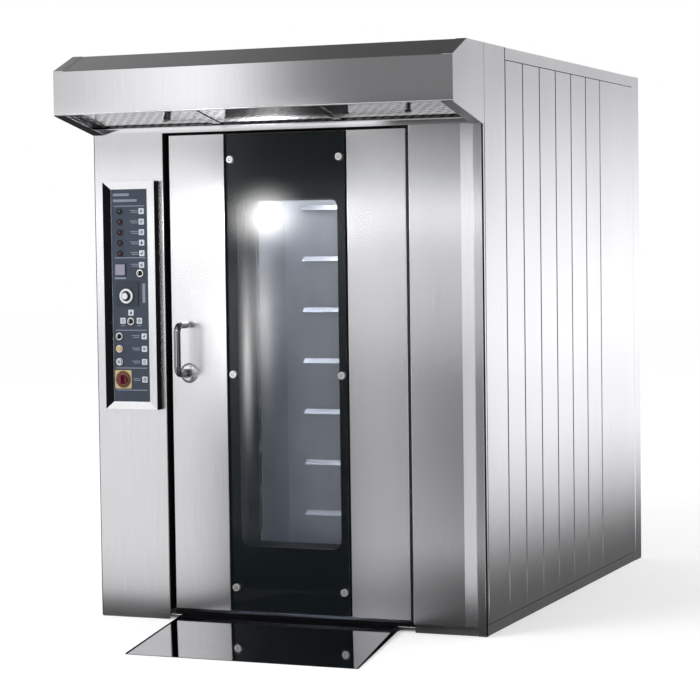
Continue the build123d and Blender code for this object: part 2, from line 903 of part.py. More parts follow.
# Hood canopy: hemmed fascia, sloping brow and flat top, with the plenum floor and the filter ledge
ledge_depth = 25
ledge_z = header_z + 20
ledge_flange = 30
hem_flange = 9
filter_rear_z = ledge_z + skin
filter_front_z = fascia_bottom + hem_flange
canopy_half = half - seat_gap
plenum_half = half - panel_return - seat_gap
with BuildPart() as hood_canopy:
    with BuildSketch(Plane.YZ.offset(-canopy_half)):
        folded(
            [
                (hood_front + hem, filter_front_z),
                (hood_front + hem, fascia_bottom),
                (hood_front, fascia_bottom),
                (hood_front, fascia_top),
                (hood_peak, body_height),
                (front + plenum_depth, body_height),
            ][::-1],
            skin,
            hood_bend,
        )
    extrude(amount=2 * canopy_half)
    with BuildSketch(facing(front + plenum_depth)):
        span(-plenum_half, plenum_half, deck_top, body_height)
    extrude(amount=skin)
    with BuildSketch(Plane.XY.offset(body_height - 2 * skin)):
        with Locations((0, extractor_y)):
            Circle(duct_radius + seat_gap)
    extrude(amount=3 * skin, mode=Mode.SUBTRACT)
    with BuildSketch(Plane.XY.offset(plenum_floor - skin)):
        span(-plenum_half, plenum_half, front, front + plenum_depth - skin)
        with Locations((flue_x, flue_y)):
            Circle(flue_radius + seat_gap, mode=Mode.SUBTRACT)
    extrude(amount=skin)
    with BuildSketch(Plane.YZ.offset(-canopy_half)):
        folded(
            [
                (front - ledge_depth, ledge_z),
                (front, ledge_z),
                (front, ledge_z + ledge_flange),
            ]
        )
    extrude(amount=2 * canopy_half)
save(hood_canopy.part, "hood_canopy")

# Hood cheeks: side sheets with a flange laid on the brow and a hem along the lower edge
brow_rise = body_height - fascia_top
brow_run = hood_reach - peak_reach
brow_length = hypot(brow_rise, brow_run)
brow_normal = (-brow_rise / brow_length, brow_run / brow_length)
cheek_hem = 45
with BuildPart() as hood_cheeks:
    with BuildSketch(Plane.YZ.offset(half)):
        with BuildLine():
            Polyline(
                (hood_front, fascia_bottom),
                (hood_front, fascia_top),
                (hood_peak, body_height),
                (front + cheek_overlap, body_height),
                (front + cheek_overlap, cheek_foot),
                (front, cheek_foot),
                close=True,
            )
        make_face()
    extrude(amount=skin)
    with BuildSketch(Plane.YZ.offset(half - cheek_flange)):
        with BuildLine():
            Polyline(
                (hood_front, fascia_top),
                (hood_front + brow_normal[0] * skin, fascia_top + brow_normal[1] * skin),
                (hood_peak + brow_normal[0] * skin, body_height + brow_normal[1] * skin),
                (hood_peak, body_height),
                close=True,
            )
        make_face()
    extrude(amount=cheek_flange + skin)
    with BuildSketch(Plane.YZ.offset(half - cheek_hem)):
        with BuildLine():
            Polyline(
                (hood_front, fascia_bottom),
                (front, cheek_foot),
                (front, cheek_foot - skin),
                (hood_front, fascia_bottom - skin),
                close=True,
            )
        make_face()
    extrude(amount=cheek_hem + skin)
    mirror(about=Plane.YZ)
save(hood_cheeks.part, "hood_cheeks")

# Grease filters: three equal panels lying on the slope, with a blank strip at each end
filter_thickness = 12
filter_frame = 14
filter_count = 3
filter_blank = 55
filter_recess = 3
filter_width = (body_width - 2 * filter_blank) / filter_count
filter_rear_y = front - 3 * skin
filter_rise = filter_front_z - filter_rear_z
filter_run = filter_rear_y - hood_front - hem
filter_angle = degrees(atan2(filter_rise, filter_run))
filter_length = (filter_rear_y - hood_front - 2 * skin) / cos(radians(filter_angle))
filter_joints = [(k - filter_count / 2) * filter_width for k in range(filter_count + 1)]
filter_edges = [-canopy_half + 2 * skin] + filter_joints + [canopy_half - 2 * skin]
filter_plane = Plane(
    origin=(0, filter_rear_y, filter_rear_z),
    x_dir=(1, 0, 0),
    z_dir=(0, sin(radians(filter_angle)), cos(radians(filter_angle))),
)
with BuildPart() as hood_filters:
    for west, east in zip(filter_edges, filter_edges[1:]):
        with BuildSketch(filter_plane):
            span(west + 1, east - 1, -filter_length, -1)
        extrude(amount=filter_thickness)
    for west, east in zip(filter_joints, filter_joints[1:]):
        with BuildSketch(filter_plane):
            span(west + filter_frame, east - filter_frame, -filter_length + filter_frame, -filter_frame)
        extrude(amount=filter_recess, mode=Mode.SUBTRACT)
save(hood_filters.part, "hood_filters")

# Extractor: a round duct through the hood top with a collar, a spigot, struts and its motor
extractor_low = plenum_floor + 40
extractor_motor_radius = 36
extractor_motor_low = plenum_floor + 90
extractor_motor_height = 60
extractor_shaft = 8
strut_count = 3
strut_width = 8
leg_width = 24
leg_thickness = 6
leg_lap = 12
collar_width = 25
collar_thickness = 2
spigot_low = body_height + collar_thickness + 1
spigot_top = spigot_low + spigot_length
with BuildPart() as extractor_housing:
    with BuildSketch(Plane.XY.offset(extractor_low)):
        with Locations((0, extractor_y)):
            Circle(duct_radius)
            Circle(duct_radius - duct_wall, mode=Mode.SUBTRACT)
    extrude(amount=spigot_low - extractor_low)
    with BuildSketch(Plane.XY.offset(body_height)):
        with Locations((0, extractor_y)):
            Circle(duct_radius + collar_width)
            Circle(duct_radius - duct_wall, mode=Mode.SUBTRACT)
    extrude(amount=collar_thickness)
    with BuildSketch(Plane.XY.offset(spigot_low)):
        with Locations((0, extractor_y)):
            Circle(spigot_radius)
            Circle(duct_radius - duct_wall, mode=Mode.SUBTRACT)
    extrude(amount=spigot_length)
    with BuildSketch(Plane.XY.offset(plenum_floor)):
        with Locations((0, extractor_y)):
            with PolarLocations(duct_radius - duct_wall / 2, strut_count, start_angle=30):
                Rectangle(leg_thickness, leg_width)
    extrude(amount=extractor_low - plenum_floor + leg_lap)
    with BuildSketch(Plane.XY.offset(extractor_motor_low)):
        with Locations((0, extractor_y)):
            Circle(extractor_motor_radius)
            with PolarLocations((extractor_motor_radius + duct_radius - duct_wall) / 2, strut_count, start_angle=90):
                Rectangle(duct_radius - extractor_motor_radius, strut_width)
            Circle(extractor_shaft + running_gap, mode=Mode.SUBTRACT)
    extrude(amount=extractor_motor_height)
save(extractor_housing.part, "extractor_housing")

# Steam flue from the chamber ceiling into the plenum, with the damper's actuator box
flue_top = plenum_floor + 100
flap_spindle = 5
flap_thickness = 2
flap_gap = 1
actuator_depth = 44
actuator_width = 60
actuator_height = 70
actuator_lap = 4
with BuildPart() as exhaust_duct:
    with BuildSketch(Plane.XY.offset(ceiling_z)):
        with Locations((flue_x, flue_y)):
            Circle(flue_radius)
    extrude(amount=flue_top - ceiling_z)
    with BuildSketch(Plane.YZ.offset(flue_x + flue_radius - actuator_lap)):
        with Locations((flue_y, flap_z)):
            Rectangle(actuator_width, actuator_height)
    extrude(amount=actuator_depth)
    with BuildSketch(Plane.XY.offset(ceiling_z)):
        with Locations((flue_x, flue_y)):
            Circle(flue_radius - duct_wall)
    extrude(amount=flue_top - ceiling_z, mode=Mode.SUBTRACT)
    with BuildSketch(Plane.YZ.offset(flue_x)):
        with Locations((flue_y, flap_z)):
            Circle(flap_spindle + running_gap)
    extrude(amount=flue_radius + actuator_depth - 14, mode=Mode.SUBTRACT)
save(exhaust_duct.part, "exhaust_duct")

# Damper flap: a disc on a spindle across the flue
with BuildPart() as damper_flap:
    with BuildSketch(Plane.XY.offset(flap_z - flap_thickness / 2)):
        with Locations((flue_x, flue_y)):
            Circle(flue_radius - duct_wall - flap_gap)
    extrude(amount=flap_thickness)
    with BuildSketch(Plane.YZ.offset(flue_x - flue_radius + 3 * duct_wall)):
        with Locations((flue_y, flap_z)):
            Circle(flap_spindle)
    extrude(amount=2 * flue_radius + actuator_depth / 2)
save(damper_flap.part, "damper_flap")

# Control bezel: a proud picture frame with a shallow inner bevel and a rebate for the panel
rebate = 6
with BuildPart() as control_bezel:
    with BuildSketch(facing(front)):
        with Locations((bezel_centre_x, bezel_centre_z)):
            Rectangle(bezel_width, bezel_height)
    extrude(amount=bezel_proud)
    with BuildSketch(facing(front - bezel_proud)):
        with Locations((bezel_centre_x, bezel_centre_z)):
            Rectangle(bezel_width - 2 * bezel_rim, bezel_height - 2 * bezel_rim)
    with BuildSketch(facing(front - bezel_proud + bezel_bevel)):
        with Locations((bezel_centre_x, bezel_centre_z)):
            Rectangle(plate_width, plate_height)
    loft(mode=Mode.SUBTRACT)
    with BuildSketch(facing(front - bezel_proud + bezel_bevel)):
        with Locations((bezel_centre_x, bezel_centre_z)):
            Rectangle(plate_width, plate_height)
    extrude(amount=-bezel_proud, mode=Mode.SUBTRACT)
    with BuildSketch(facing(panel_face)):
        with Locations((bezel_centre_x, bezel_centre_z)):
            Rectangle(plate_width + 2 * rebate, plate_height + 2 * rebate)
    extrude(amount=-bezel_proud, mode=Mode.SUBTRACT)
save(control_bezel.part, "control_bezel")

# Places of the controls, all taken from the middle of the panel
lamp_x = bezel_centre_x - 43
lamp_radius = 5
lamp_proud = 5
lamp_edge = 1.8
lamp_count = 5
lamp_pitch = 41
lamp_low = bezel_centre_z + 165.5
display_size = 48
display_x = bezel_centre_x - 43
display_z = bezel_centre_z + 101.5
timer_size = 96
timer_x = bezel_centre_x - 14
timer_z = bezel_centre_z + 7.5
dial_x = bezel_centre_x - 15.5
dial_z = bezel_centre_z - 1.5
gauge_x = bezel_centre_x + 40
gauge_width = 5
gauge_height = 89
switch_radius = 14.5
stem_radius = 10.5
collar_height = 5
temperature_x = bezel_centre_x + 44
temperature_z = bezel_centre_z + 87.5
mode_x = bezel_centre_x
mode_z = bezel_centre_z - 100.5
light_x = bezel_centre_x - 52
light_z = bezel_centre_z - 159.5
start_z = bezel_centre_z - 208.5
steam_z = bezel_centre_z - 259.5
isolator_x = bezel_centre_x - 37.5
isolator_z = bezel_centre_z - 328.5
isolator_plate_size = 72
isolator_corner = 5
switch_places = [
    (temperature_x, temperature_z),
    (mode_x, mode_z),
    (light_x, light_z),
    (light_x, start_z),
    (light_x, steam_z),
]

# Control panel plate, seated in the rebate, with holes for every switch and the gauge slot
panel_edge = 2 * rebate - 2 * seat_gap
knob_spindle = 6
spindle_hole = knob_spindle + running_gap
with BuildPart() as control_plate:
    with BuildSketch(facing(panel_face)):
        with Locations((bezel_centre_x, bezel_centre_z)):
            Rectangle(plate_width + panel_edge, plate_height + panel_edge)
        with Locations(*switch_places):
            Circle(stem_radius + seat_gap, mode=Mode.SUBTRACT)
        with Locations((gauge_x, timer_z)):
            Rectangle(gauge_width, gauge_height, mode=Mode.SUBTRACT)
        with Locations((isolator_x, isolator_z), (dial_x, dial_z)):
            Circle(spindle_hole, mode=Mode.SUBTRACT)
    extrude(amount=-panel_thickness)
save(control_plate.part, "control_plate")

# Indicator lamps: one row of domed lenses
with BuildPart() as indicator_lamps:
    for k in range(lamp_count):
        with BuildSketch(facing(panel_face)):
            with Locations((lamp_x, lamp_low + k * lamp_pitch)):
                Circle(lamp_radius)
        extrude(amount=lamp_proud)
    chamfer(faces().filter_by(GeomType.PLANE).group_by(Axis.Y)[0].edges(), lamp_edge)
save(indicator_lamps.part, "indicator_lamps")

# Panel instruments: the temperature display and the timer body
instrument_proud = 4
instrument_corner = 3
with BuildPart() as panel_instruments:
    with BuildSketch(facing(panel_face)):
        with Locations((display_x, display_z)):
            RectangleRounded(display_size, display_size, instrument_corner)
    extrude(amount=instrument_proud)
    with BuildSketch(facing(panel_face)):
        with Locations((timer_x, timer_z)):
            RectangleRounded(timer_size, timer_size, instrument_corner)
        with Locations((dial_x, dial_z)):
            Circle(spindle_hole, mode=Mode.SUBTRACT)
    extrude(amount=instrument_proud)
save(panel_instruments.part, "panel_instruments")

# Timer dial: a numbered ring with a raised hub on its own spindle
dial_radius = 31
dial_gap = 0.5
dial_height = 5
dial_taper = 20
hub_radius = 13
hub_height = 16
pointer_width = 2
spindle_reach = 6
dial_face = panel_face - instrument_proud - dial_gap
with BuildPart() as timer_dial:
    with BuildSketch(facing(dial_face)):
        with Locations((dial_x, dial_z)):
            Circle(dial_radius)
    extrude(amount=dial_height, taper=dial_taper)
    with BuildSketch(facing(dial_face)):
        with Locations((dial_x, dial_z)):
            Circle(hub_radius)
    extrude(amount=hub_height)
    with BuildSketch(facing(dial_face - hub_height)):
        with Locations((dial_x, dial_z + hub_radius / 2)):
            Rectangle(pointer_width, hub_radius)
    extrude(amount=pointer_width / 2)
    with BuildSketch(facing(dial_face)):
        with Locations((dial_x, dial_z)):
            Circle(knob_spindle)
    extrude(amount=-(instrument_proud + dial_gap + panel_thickness + spindle_reach))
save(timer_dial.part, "timer_dial")

# Isolator: a square escutcheon and a turning knob with a bar grip
isolator_plate_thickness = 3
knob_gap = 0.5
knob_radius = 21
knob_base = 12
knob_base_taper = 6
grip_width = 11
grip_height = 18
grip_taper = 4
knob_face = panel_face - isolator_plate_thickness - knob_gap
with BuildPart() as isolator_plate:
    with BuildSketch(facing(panel_face)):
        with Locations((isolator_x, isolator_z)):
            RectangleRounded(isolator_plate_size, isolator_plate_size, isolator_corner)
            Circle(spindle_hole, mode=Mode.SUBTRACT)
    extrude(amount=isolator_plate_thickness)
save(isolator_plate.part, "isolator_plate")
with BuildPart() as isolator_knob:
    with BuildSketch(facing(knob_face)):
        with Locations((isolator_x, isolator_z)):
            Circle(knob_radius)
    extrude(amount=knob_base, taper=knob_base_taper)
    with BuildSketch(facing(knob_face - knob_base)):
        with Locations((isolator_x, isolator_z)):
            SlotOverall(2 * knob_radius - 4, grip_width, rotation=90)
    extrude(amount=grip_height, taper=grip_taper)
    with BuildSketch(facing(knob_face)):
        with Locations((isolator_x, isolator_z)):
            Circle(knob_spindle)
    extrude(amount=-(isolator_plate_thickness + knob_gap + panel_thickness + spindle_reach))
save(isolator_knob.part, "isolator_knob")

# Switch collars: chromed rings round the three selectors and the two buttons
with BuildPart() as switch_collars:
    for place in switch_places:
        with BuildSketch(facing(panel_face)):
            with Locations(place):
                Circle(switch_radius)
                Circle(stem_radius + running_gap, mode=Mode.SUBTRACT)
        extrude(amount=collar_height)
save(switch_collars.part, "switch_collars")


selector_proud = 3
selector_grip = 7
selector_height = 11
stem_reach = 8


def selector(x, z):
    """Rotary selector: a round stem through the panel with a tapered pointer bar."""
    top = panel_face - collar_height - selector_proud
    with BuildPart() as knob:
        with BuildSketch(facing(top)):
            with Locations((x, z)):
                Circle(stem_radius)
        extrude(amount=-(panel_face + panel_thickness + stem_reach - top))
        with BuildSketch(facing(top)):
            with Locations((x, z)):
                SlotOverall(2 * stem_radius - 2, selector_grip, rotation=90)
        extrude(amount=selector_height, taper=5)
    return knob.part


for node, place in zip(("temperature_selector", "mode_selector", "light_selector"), switch_places):
    save(selector(*place), node)

button_proud = 6
button_edge = 1
button_rim = 4
button_reach = 4
start_dish = 0.8
steam_dish = 1.6


def button(x, z, dish):
    """Push-button: a stem that slides in its collar, with a dished cap."""
    top = panel_face - collar_height - button_proud
    with BuildPart() as cap:
        with BuildSketch(facing(top)):
            with Locations((x, z)):
                Circle(stem_radius)
        extrude(amount=-(panel_face + panel_thickness + button_reach - top))
        chamfer(faces().sort_by(Axis.Y)[0].edges(), button_edge)
        with BuildSketch(facing(top)):
            with Locations((x, z)):
                Circle(stem_radius - button_rim)
        extrude(amount=-dish, mode=Mode.SUBTRACT)
    return cap.part


save(button(light_x, start_z, start_dish), "start_button")
save(button(light_x, steam_z, steam_dish), "steam_button")

# Electrics tray in the column: a plate on spacers with contactors, relays and a terminal rail
tray_low = 420
tray_high = header_z - 154
tray_left = -half + 45
tray_right = opening_left - 25
tray_spacer = 6
tray_thickness = 2
tray_back = stop_front - tray_spacer
tray_middle_x = (tray_left + tray_right) / 2
spacer_inset_x = 15
spacer_inset_z = 20
device_width = 46
device_height = 84
device_depth = 62
device_pitch = 56
device_row = 140
rail_clip_width = 190
rail_clip_height = 30
device_rows = [
    (tray_low + 80, 3),
    (tray_low + 80 + device_row, 4),
    (tray_low + 80 + 2 * device_row, 3),
    (tray_high - 110 - device_row, 4),
    (tray_high - 110, 3),
]
with BuildPart() as electrics_tray:
    with BuildSketch(facing(tray_back)):
        span(tray_left, tray_right, tray_low, tray_high)
    extrude(amount=tray_thickness)
    with BuildSketch(facing(stop_front)):
        for spacer_x in (tray_left + spacer_inset_x, tray_right - spacer_inset_x):
            for spacer_z in (tray_low + spacer_inset_z, tray_high - spacer_inset_z):
                with Locations((spacer_x, spacer_z)):
                    Circle(tray_spacer)
    extrude(amount=tray_spacer)
    with BuildSketch(facing(tray_back - tray_thickness)):
        for row_z, count in device_rows:
            for k in range(count):
                with Locations((tray_middle_x + (k - (count - 1) / 2) * device_pitch, row_z)):
                    Rectangle(device_width, device_height)
        with Locations((tray_middle_x, tray_low + 80 + 3 * device_row)):
            Rectangle(rail_clip_width, rail_clip_height)
    extrude(amount=device_depth)
save(electrics_tray.part, "electrics_tray")

# Cable gland on the roof: hexagon body, domed nut and a clear bore
gland_bore = 14
gland_nut = 27
gland_nut_height = 8
gland_dome = 24
gland_dome_height = 22
gland_dome_edge = 3
gland_reach = 20
gland_height = gland_nut_height + gland_dome_height
with BuildPart() as cable_gland:
    with BuildSketch(Plane.XY.offset(deck_top)):
        with Locations((gland_x, gland_y)):
            RegularPolygon(gland_nut, 6)
    extrude(amount=gland_nut_height)
    with BuildSketch(Plane.XY.offset(deck_top + gland_nut_height)):
        with Locations((gland_x, gland_y)):
            RegularPolygon(gland_dome, 6)
    extrude(amount=gland_dome_height)
    chamfer(faces().sort_by(Axis.Z)[-1].edges(), gland_dome_edge)
    with BuildSketch(Plane.XY.offset(deck_top - gland_reach)):
        with Locations((gland_x, gland_y)):
            Circle(gland_body)
    extrude(amount=gland_reach)
    with BuildSketch(Plane.XY.offset(deck_top - gland_reach)):
        with Locations((gland_x, gland_y)):
            Circle(gland_bore)
    extrude(amount=gland_reach + gland_height, mode=Mode.SUBTRACT)
save(cable_gland.part, "cable_gland")

# Turntable bearing: a flange under the floor whose spigot comes up through it
bearing_flange = 66
bearing_height = 12
spigot_rise = turntable_top - turntable_thickness - rail_height - seat_gap
with BuildPart() as turntable_bearing:
    with BuildSketch(Plane.XY.offset(rail_height - bearing_height)):
        with Locations((0, turntable_y)):
            Circle(bearing_flange)
    extrude(amount=bearing_height)
    with BuildSketch(Plane.XY.offset(rail_height)):
        with Locations((0, turntable_y)):
            Circle(bearing_spigot)
    extrude(amount=spigot_rise)
    with BuildSketch(Plane.XY.offset(rail_height - bearing_height)):
        with Locations((0, turntable_y)):
            Circle(shaft_radius + running_gap)
    extrude(amount=bearing_height + spigot_rise, mode=Mode.SUBTRACT)
save(turntable_bearing.part, "turntable_bearing")

# Turntable: a bevelled round plate on its stub shaft
shaft_foot = 6
with BuildPart() as turntable:
    with BuildSketch(Plane.XY.offset(turntable_top - turntable_thickness)):
        with Locations((0, turntable_y)):
            Circle(turntable_radius)
    extrude(amount=turntable_thickness)
    chamfer(faces().sort_by(Axis.Z)[-1].edges(), turntable_thickness * 0.6)
    with BuildSketch(Plane.XY.offset(shaft_foot)):
        with Locations((0, turntable_y)):
            Circle(shaft_radius)
    extrude(amount=turntable_top - turntable_thickness - shaft_foot)
save(turntable.part, "turntable")


roller_seat = 7.6
tooth_tip = 3


def pitch_radius(teeth):
    """Radius of the circle that the chain's rollers lie on."""
    return chain_pitch / (2 * sin(pi / teeth))


def tip_radius(teeth):
    """Radius over the teeth."""
    return pitch_radius(teeth) + tooth_tip


def sprocket_face(teeth):
    """Face of a roller-chain sprocket, with rounded roller seats cut from the tip circle."""
    Circle(tip_radius(teeth))
    with PolarLocations(pitch_radius(teeth), teeth):
        SlotCenterToCenter(2 * tooth_tip, roller_seat, mode=Mode.SUBTRACT)


# Sprockets: the large one on the turntable shaft, the small one on the gearmotor shaft
with BuildPart() as driven_sprocket:
    with BuildSketch(Plane.XY.offset(sprocket_low)):
        with Locations((0, turntable_y)):
            sprocket_face(driven_teeth)
            Circle(shaft_radius, mode=Mode.SUBTRACT)
    extrude(amount=sprocket_thickness)
save(driven_sprocket.part, "driven_sprocket")
gearbox_top = 140
shaft_top = gearbox_top - 40
with BuildPart() as drive_sprocket:
    with BuildSketch(Plane.XY.offset(sprocket_low)):
        with Locations((0, fan_y)):
            sprocket_face(drive_teeth)
    extrude(amount=sprocket_thickness)
    with BuildSketch(Plane.XY.offset(sprocket_low)):
        with Locations((0, fan_y)):
            Circle(motor_shaft_radius)
    extrude(amount=shaft_top - sprocket_low)
save(drive_sprocket.part, "drive_sprocket")

# Drive chain loop round both sprockets
chain_gap = 0.5
chain_thickness = 7
with BuildPart() as drive_chain:
    with BuildSketch(Plane.XY.offset(sprocket_low)):
        with Locations((0, turntable_y)):
            Circle(tip_radius(driven_teeth) + chain_gap + chain_thickness)
        with Locations((0, fan_y)):
            Circle(tip_radius(drive_teeth) + chain_gap + chain_thickness)
        make_hull()
    extrude(amount=sprocket_thickness)
    with BuildSketch(Plane.XY.offset(sprocket_low)):
        with Locations((0, turntable_y)):
            Circle(tip_radius(driven_teeth) + chain_gap)
        with Locations((0, fan_y)):
            Circle(tip_radius(drive_teeth) + chain_gap)
        make_hull()
    extrude(amount=sprocket_thickness, mode=Mode.SUBTRACT)
save(drive_chain.part, "drive_chain")

# Gearmotor in the service bay: worm gearbox with a horizontal motor
gearbox_width = 120
gearbox_corner = 14
motor_length = 190
small_motor_radius = 50
fan_cover_length = 24
fan_cover_step = 6
motor_axis_z = floor_top + small_motor_radius + 2
with BuildPart() as gearmotor:
    with BuildSketch(Plane.XY.offset(floor_top)):
        with Locations((0, fan_y)):
            RectangleRounded(gearbox_width, gearbox_width, gearbox_corner)
    extrude(amount=gearbox_top - floor_top)
    with BuildSketch(Plane.YZ.offset(gearbox_width / 2)):
        with Locations((fan_y, motor_axis_z)):
            Circle(small_motor_radius)
    extrude(amount=motor_length)
    with BuildSketch(Plane.YZ.offset(gearbox_width / 2 + motor_length)):
        with Locations((fan_y, motor_axis_z)):
            Circle(small_motor_radius - fan_cover_step)
    extrude(amount=fan_cover_length)
    with BuildSketch(Plane.XY.offset(floor_top)):
        with Locations((0, fan_y)):
            Circle(motor_shaft_radius + running_gap)
    extrude(amount=shaft_top + 1 - floor_top, mode=Mode.SUBTRACT)
save(gearmotor.part, "gearmotor")

# Circulation wheel: a top plate, an inlet shroud and backward-curved blades between them
blade_inner = 120
blade_sweep = 40
blade_radius = 170
blade_outer = wheel_radius - 5
with BuildSketch(mode=Mode.PRIVATE) as blade:
    with BuildLine():
        RadiusArc(
            (blade_inner, 0),
            (blade_outer * cos(radians(blade_sweep)), blade_outer * sin(radians(blade_sweep))),
            -blade_radius,
        )
        offset(amount=blade_thickness, side=Side.LEFT)
    make_face()
hub_drop = 50
fan_hub_radius = 46
shaft_gap = 4
with BuildPart() as circulation_impeller:
    with BuildSketch(Plane.XY.offset(wheel_low + wheel_height)):
        with Locations((0, fan_y)):
            Circle(wheel_radius)
    extrude(amount=wheel_plate)
    with BuildSketch(Plane.XY.offset(wheel_low)):
        with Locations((0, fan_y)):
            Circle(wheel_radius)
            Circle(inlet_radius + 8, mode=Mode.SUBTRACT)
    extrude(amount=wheel_plate)
    with BuildSketch(Plane.XY.offset(wheel_low + wheel_plate / 2)):
        with Locations((0, fan_y)):
            with PolarLocations(0, blade_count):
                add(blade.sketch)
    extrude(amount=wheel_height)
    with BuildSketch(Plane.XY.offset(wheel_low + wheel_height - hub_drop)):
        with Locations((0, fan_y)):
            Circle(fan_hub_radius)
    extrude(amount=hub_drop + wheel_plate)
    with BuildSketch(Plane.XY.offset(wheel_low + wheel_height)):
        with Locations((0, fan_y)):
            Circle(fan_shaft_radius)
    extrude(amount=pedestal_top - shaft_gap - wheel_low - wheel_height)
save(circulation_impeller.part, "circulation_impeller")

# Extractor wheel: an axial hub with pitched blades under the motor
axial_radius = duct_radius - duct_wall - 3
axial_height = 34
axial_low = extractor_motor_low - axial_height - 6
axial_hub = 34
axial_blade_angle = 32
axial_blade_width = 46
axial_blade_thickness = 2.5
axial_blade_root = 4
axial_blade_span = axial_radius - axial_hub + axial_blade_root
axial_shaft = 40
with BuildPart() as extractor_impeller:
    with BuildSketch(Plane.XY.offset(axial_low)):
        with Locations((0, extractor_y)):
            Circle(axial_hub)
    extrude(amount=axial_height)
    for k in range(extractor_blades):
        turn = k * 360 / extractor_blades
        stand = Plane((0, extractor_y, axial_low + axial_height / 2)).rotated((0, 0, turn))
        root = stand.from_local_coords((axial_hub - axial_blade_root, 0, 0))
        with BuildSketch(Plane(root, x_dir=stand.y_dir, z_dir=stand.x_dir)):
            Rectangle(axial_blade_width, axial_blade_thickness, rotation=axial_blade_angle)
        extrude(amount=axial_blade_span)
    with BuildSketch(Plane.XY.offset(axial_low)):
        with Locations((0, extractor_y)):
            Circle(axial_radius)
    extrude(amount=axial_height, mode=Mode.INTERSECT)
    with BuildSketch(Plane.XY.offset(axial_low + axial_height)):
        with Locations((0, extractor_y)):
            Circle(extractor_shaft)
    extrude(amount=axial_shaft)
save(extractor_impeller.part, "extractor_impeller")

# Hinge brackets: a plate on the jamb at the foot and one under the header, each with its pin
bracket_lap = 20
bracket_left = pivot_x - bracket_lap
bracket_front = pivot_y - bracket_lap
bracket_back = pivot_y + bracket_lap
lower_bracket_top = door_bottom - 2
upper_bracket_low = door_top + 3
with BuildPart() as hinge_brackets:
    with BuildSketch(Plane.XY.offset(lower_bracket_top - bracket_thickness)):
        span(bracket_left, opening_right, bracket_front, bracket_back)
    extrude(amount=bracket_thickness)
    with BuildSketch(Plane.XY.offset(upper_bracket_low)):
        span(bracket_left, opening_right, bracket_front, bracket_back)
    extrude(amount=header_z - upper_bracket_low)
    with BuildSketch(Plane.XY.offset(lower_bracket_top)):
        with Locations((pivot_x, pivot_y)):
            Circle(pin_radius)
    extrude(amount=pin_length)
    with BuildSketch(Plane.XY.offset(upper_bracket_low - pin_length)):
        with Locations((pivot_x, pivot_y)):
            Circle(pin_radius)
    extrude(amount=pin_length)
save(hinge_brackets.part, "hinge_brackets")

# Door pan: a hollow sheet box round the window, with the pivot bushes and the spindle tube
spindle_tube = 15
tube_bore = spindle_radius + 1
with BuildPart() as door_pan:
    with BuildSketch(facing(pan_front)):
        span(door_left, door_right, door_bottom, door_top)
        with Locations((glass_centre, window_middle_z)):
            Rectangle(reveal_width, reveal_height, mode=Mode.SUBTRACT)
    extrude(amount=-pan_depth)
    with BuildSketch(facing(pan_front + skin)):
        span(door_left + skin, door_right - skin, door_bottom + skin, door_top - skin)
        with Locations((glass_centre, window_middle_z)):
            Rectangle(reveal_width + 2 * skin, reveal_height + 2 * skin, mode=Mode.SUBTRACT)
    extrude(amount=-(pan_depth - 2 * skin), mode=Mode.SUBTRACT)
    with BuildSketch(Plane.XY.offset(door_bottom)):
        with Locations((pivot_x, pivot_y)):
            Circle(bush_radius)
    extrude(amount=bush_length)
    with BuildSketch(Plane.XY.offset(door_top - bush_length)):
        with Locations((pivot_x, pivot_y)):
            Circle(bush_radius)
    extrude(amount=bush_length)
    with BuildSketch(Plane.XY.offset(door_bottom)):
        with Locations((pivot_x, pivot_y)):
            Circle(pin_radius + running_gap)
    extrude(amount=pin_length, mode=Mode.SUBTRACT)
    with BuildSketch(Plane.XY.offset(door_top - pin_length)):
        with Locations((pivot_x, pivot_y)):
            Circle(pin_radius + running_gap)
    extrude(amount=pin_length, mode=Mode.SUBTRACT)
    with BuildSketch(facing(pan_front)):
        with Locations((spindle_x, spindle_z)):
            Circle(spindle_tube)
    extrude(amount=-pan_depth)
    with BuildSketch(facing(pan_front)):
        with Locations((spindle_x, spindle_z)):
            Circle(tube_bore)
    extrude(amount=-pan_depth, mode=Mode.SUBTRACT)
save(door_pan.part, "door_pan")

# Door insulation: a slab that fills the pan round the window, clear of bushes and spindle tube
wool_gap = 1
with BuildPart() as door_insulation:
    with BuildSketch(facing(pan_front + skin)):
        span(
            door_left + skin + wool_gap,
            door_right - skin - wool_gap,
            door_bottom + skin + wool_gap,
            door_top - skin - wool_gap,
        )
        with Locations((glass_centre, window_middle_z)):
            Rectangle(
                reveal_width + 2 * skin + 2 * wool_gap,
                reveal_height + 2 * skin + 2 * wool_gap,
                mode=Mode.SUBTRACT,
            )
        with Locations((spindle_x, spindle_z)):
            Circle(spindle_tube + wool_gap, mode=Mode.SUBTRACT)
    extrude(amount=-(pan_depth - 2 * skin))
    with BuildSketch(Plane.XY.offset(door_bottom)):
        with Locations((pivot_x, pivot_y)):
            Circle(bush_radius + wool_gap)
    extrude(amount=bush_length + wool_gap, mode=Mode.SUBTRACT)
    with BuildSketch(Plane.XY.offset(door_top)):
        with Locations((pivot_x, pivot_y)):
            Circle(bush_radius + wool_gap)
    extrude(amount=-bush_length - wool_gap, mode=Mode.SUBTRACT)
save(door_insulation.part, "door_insulation")

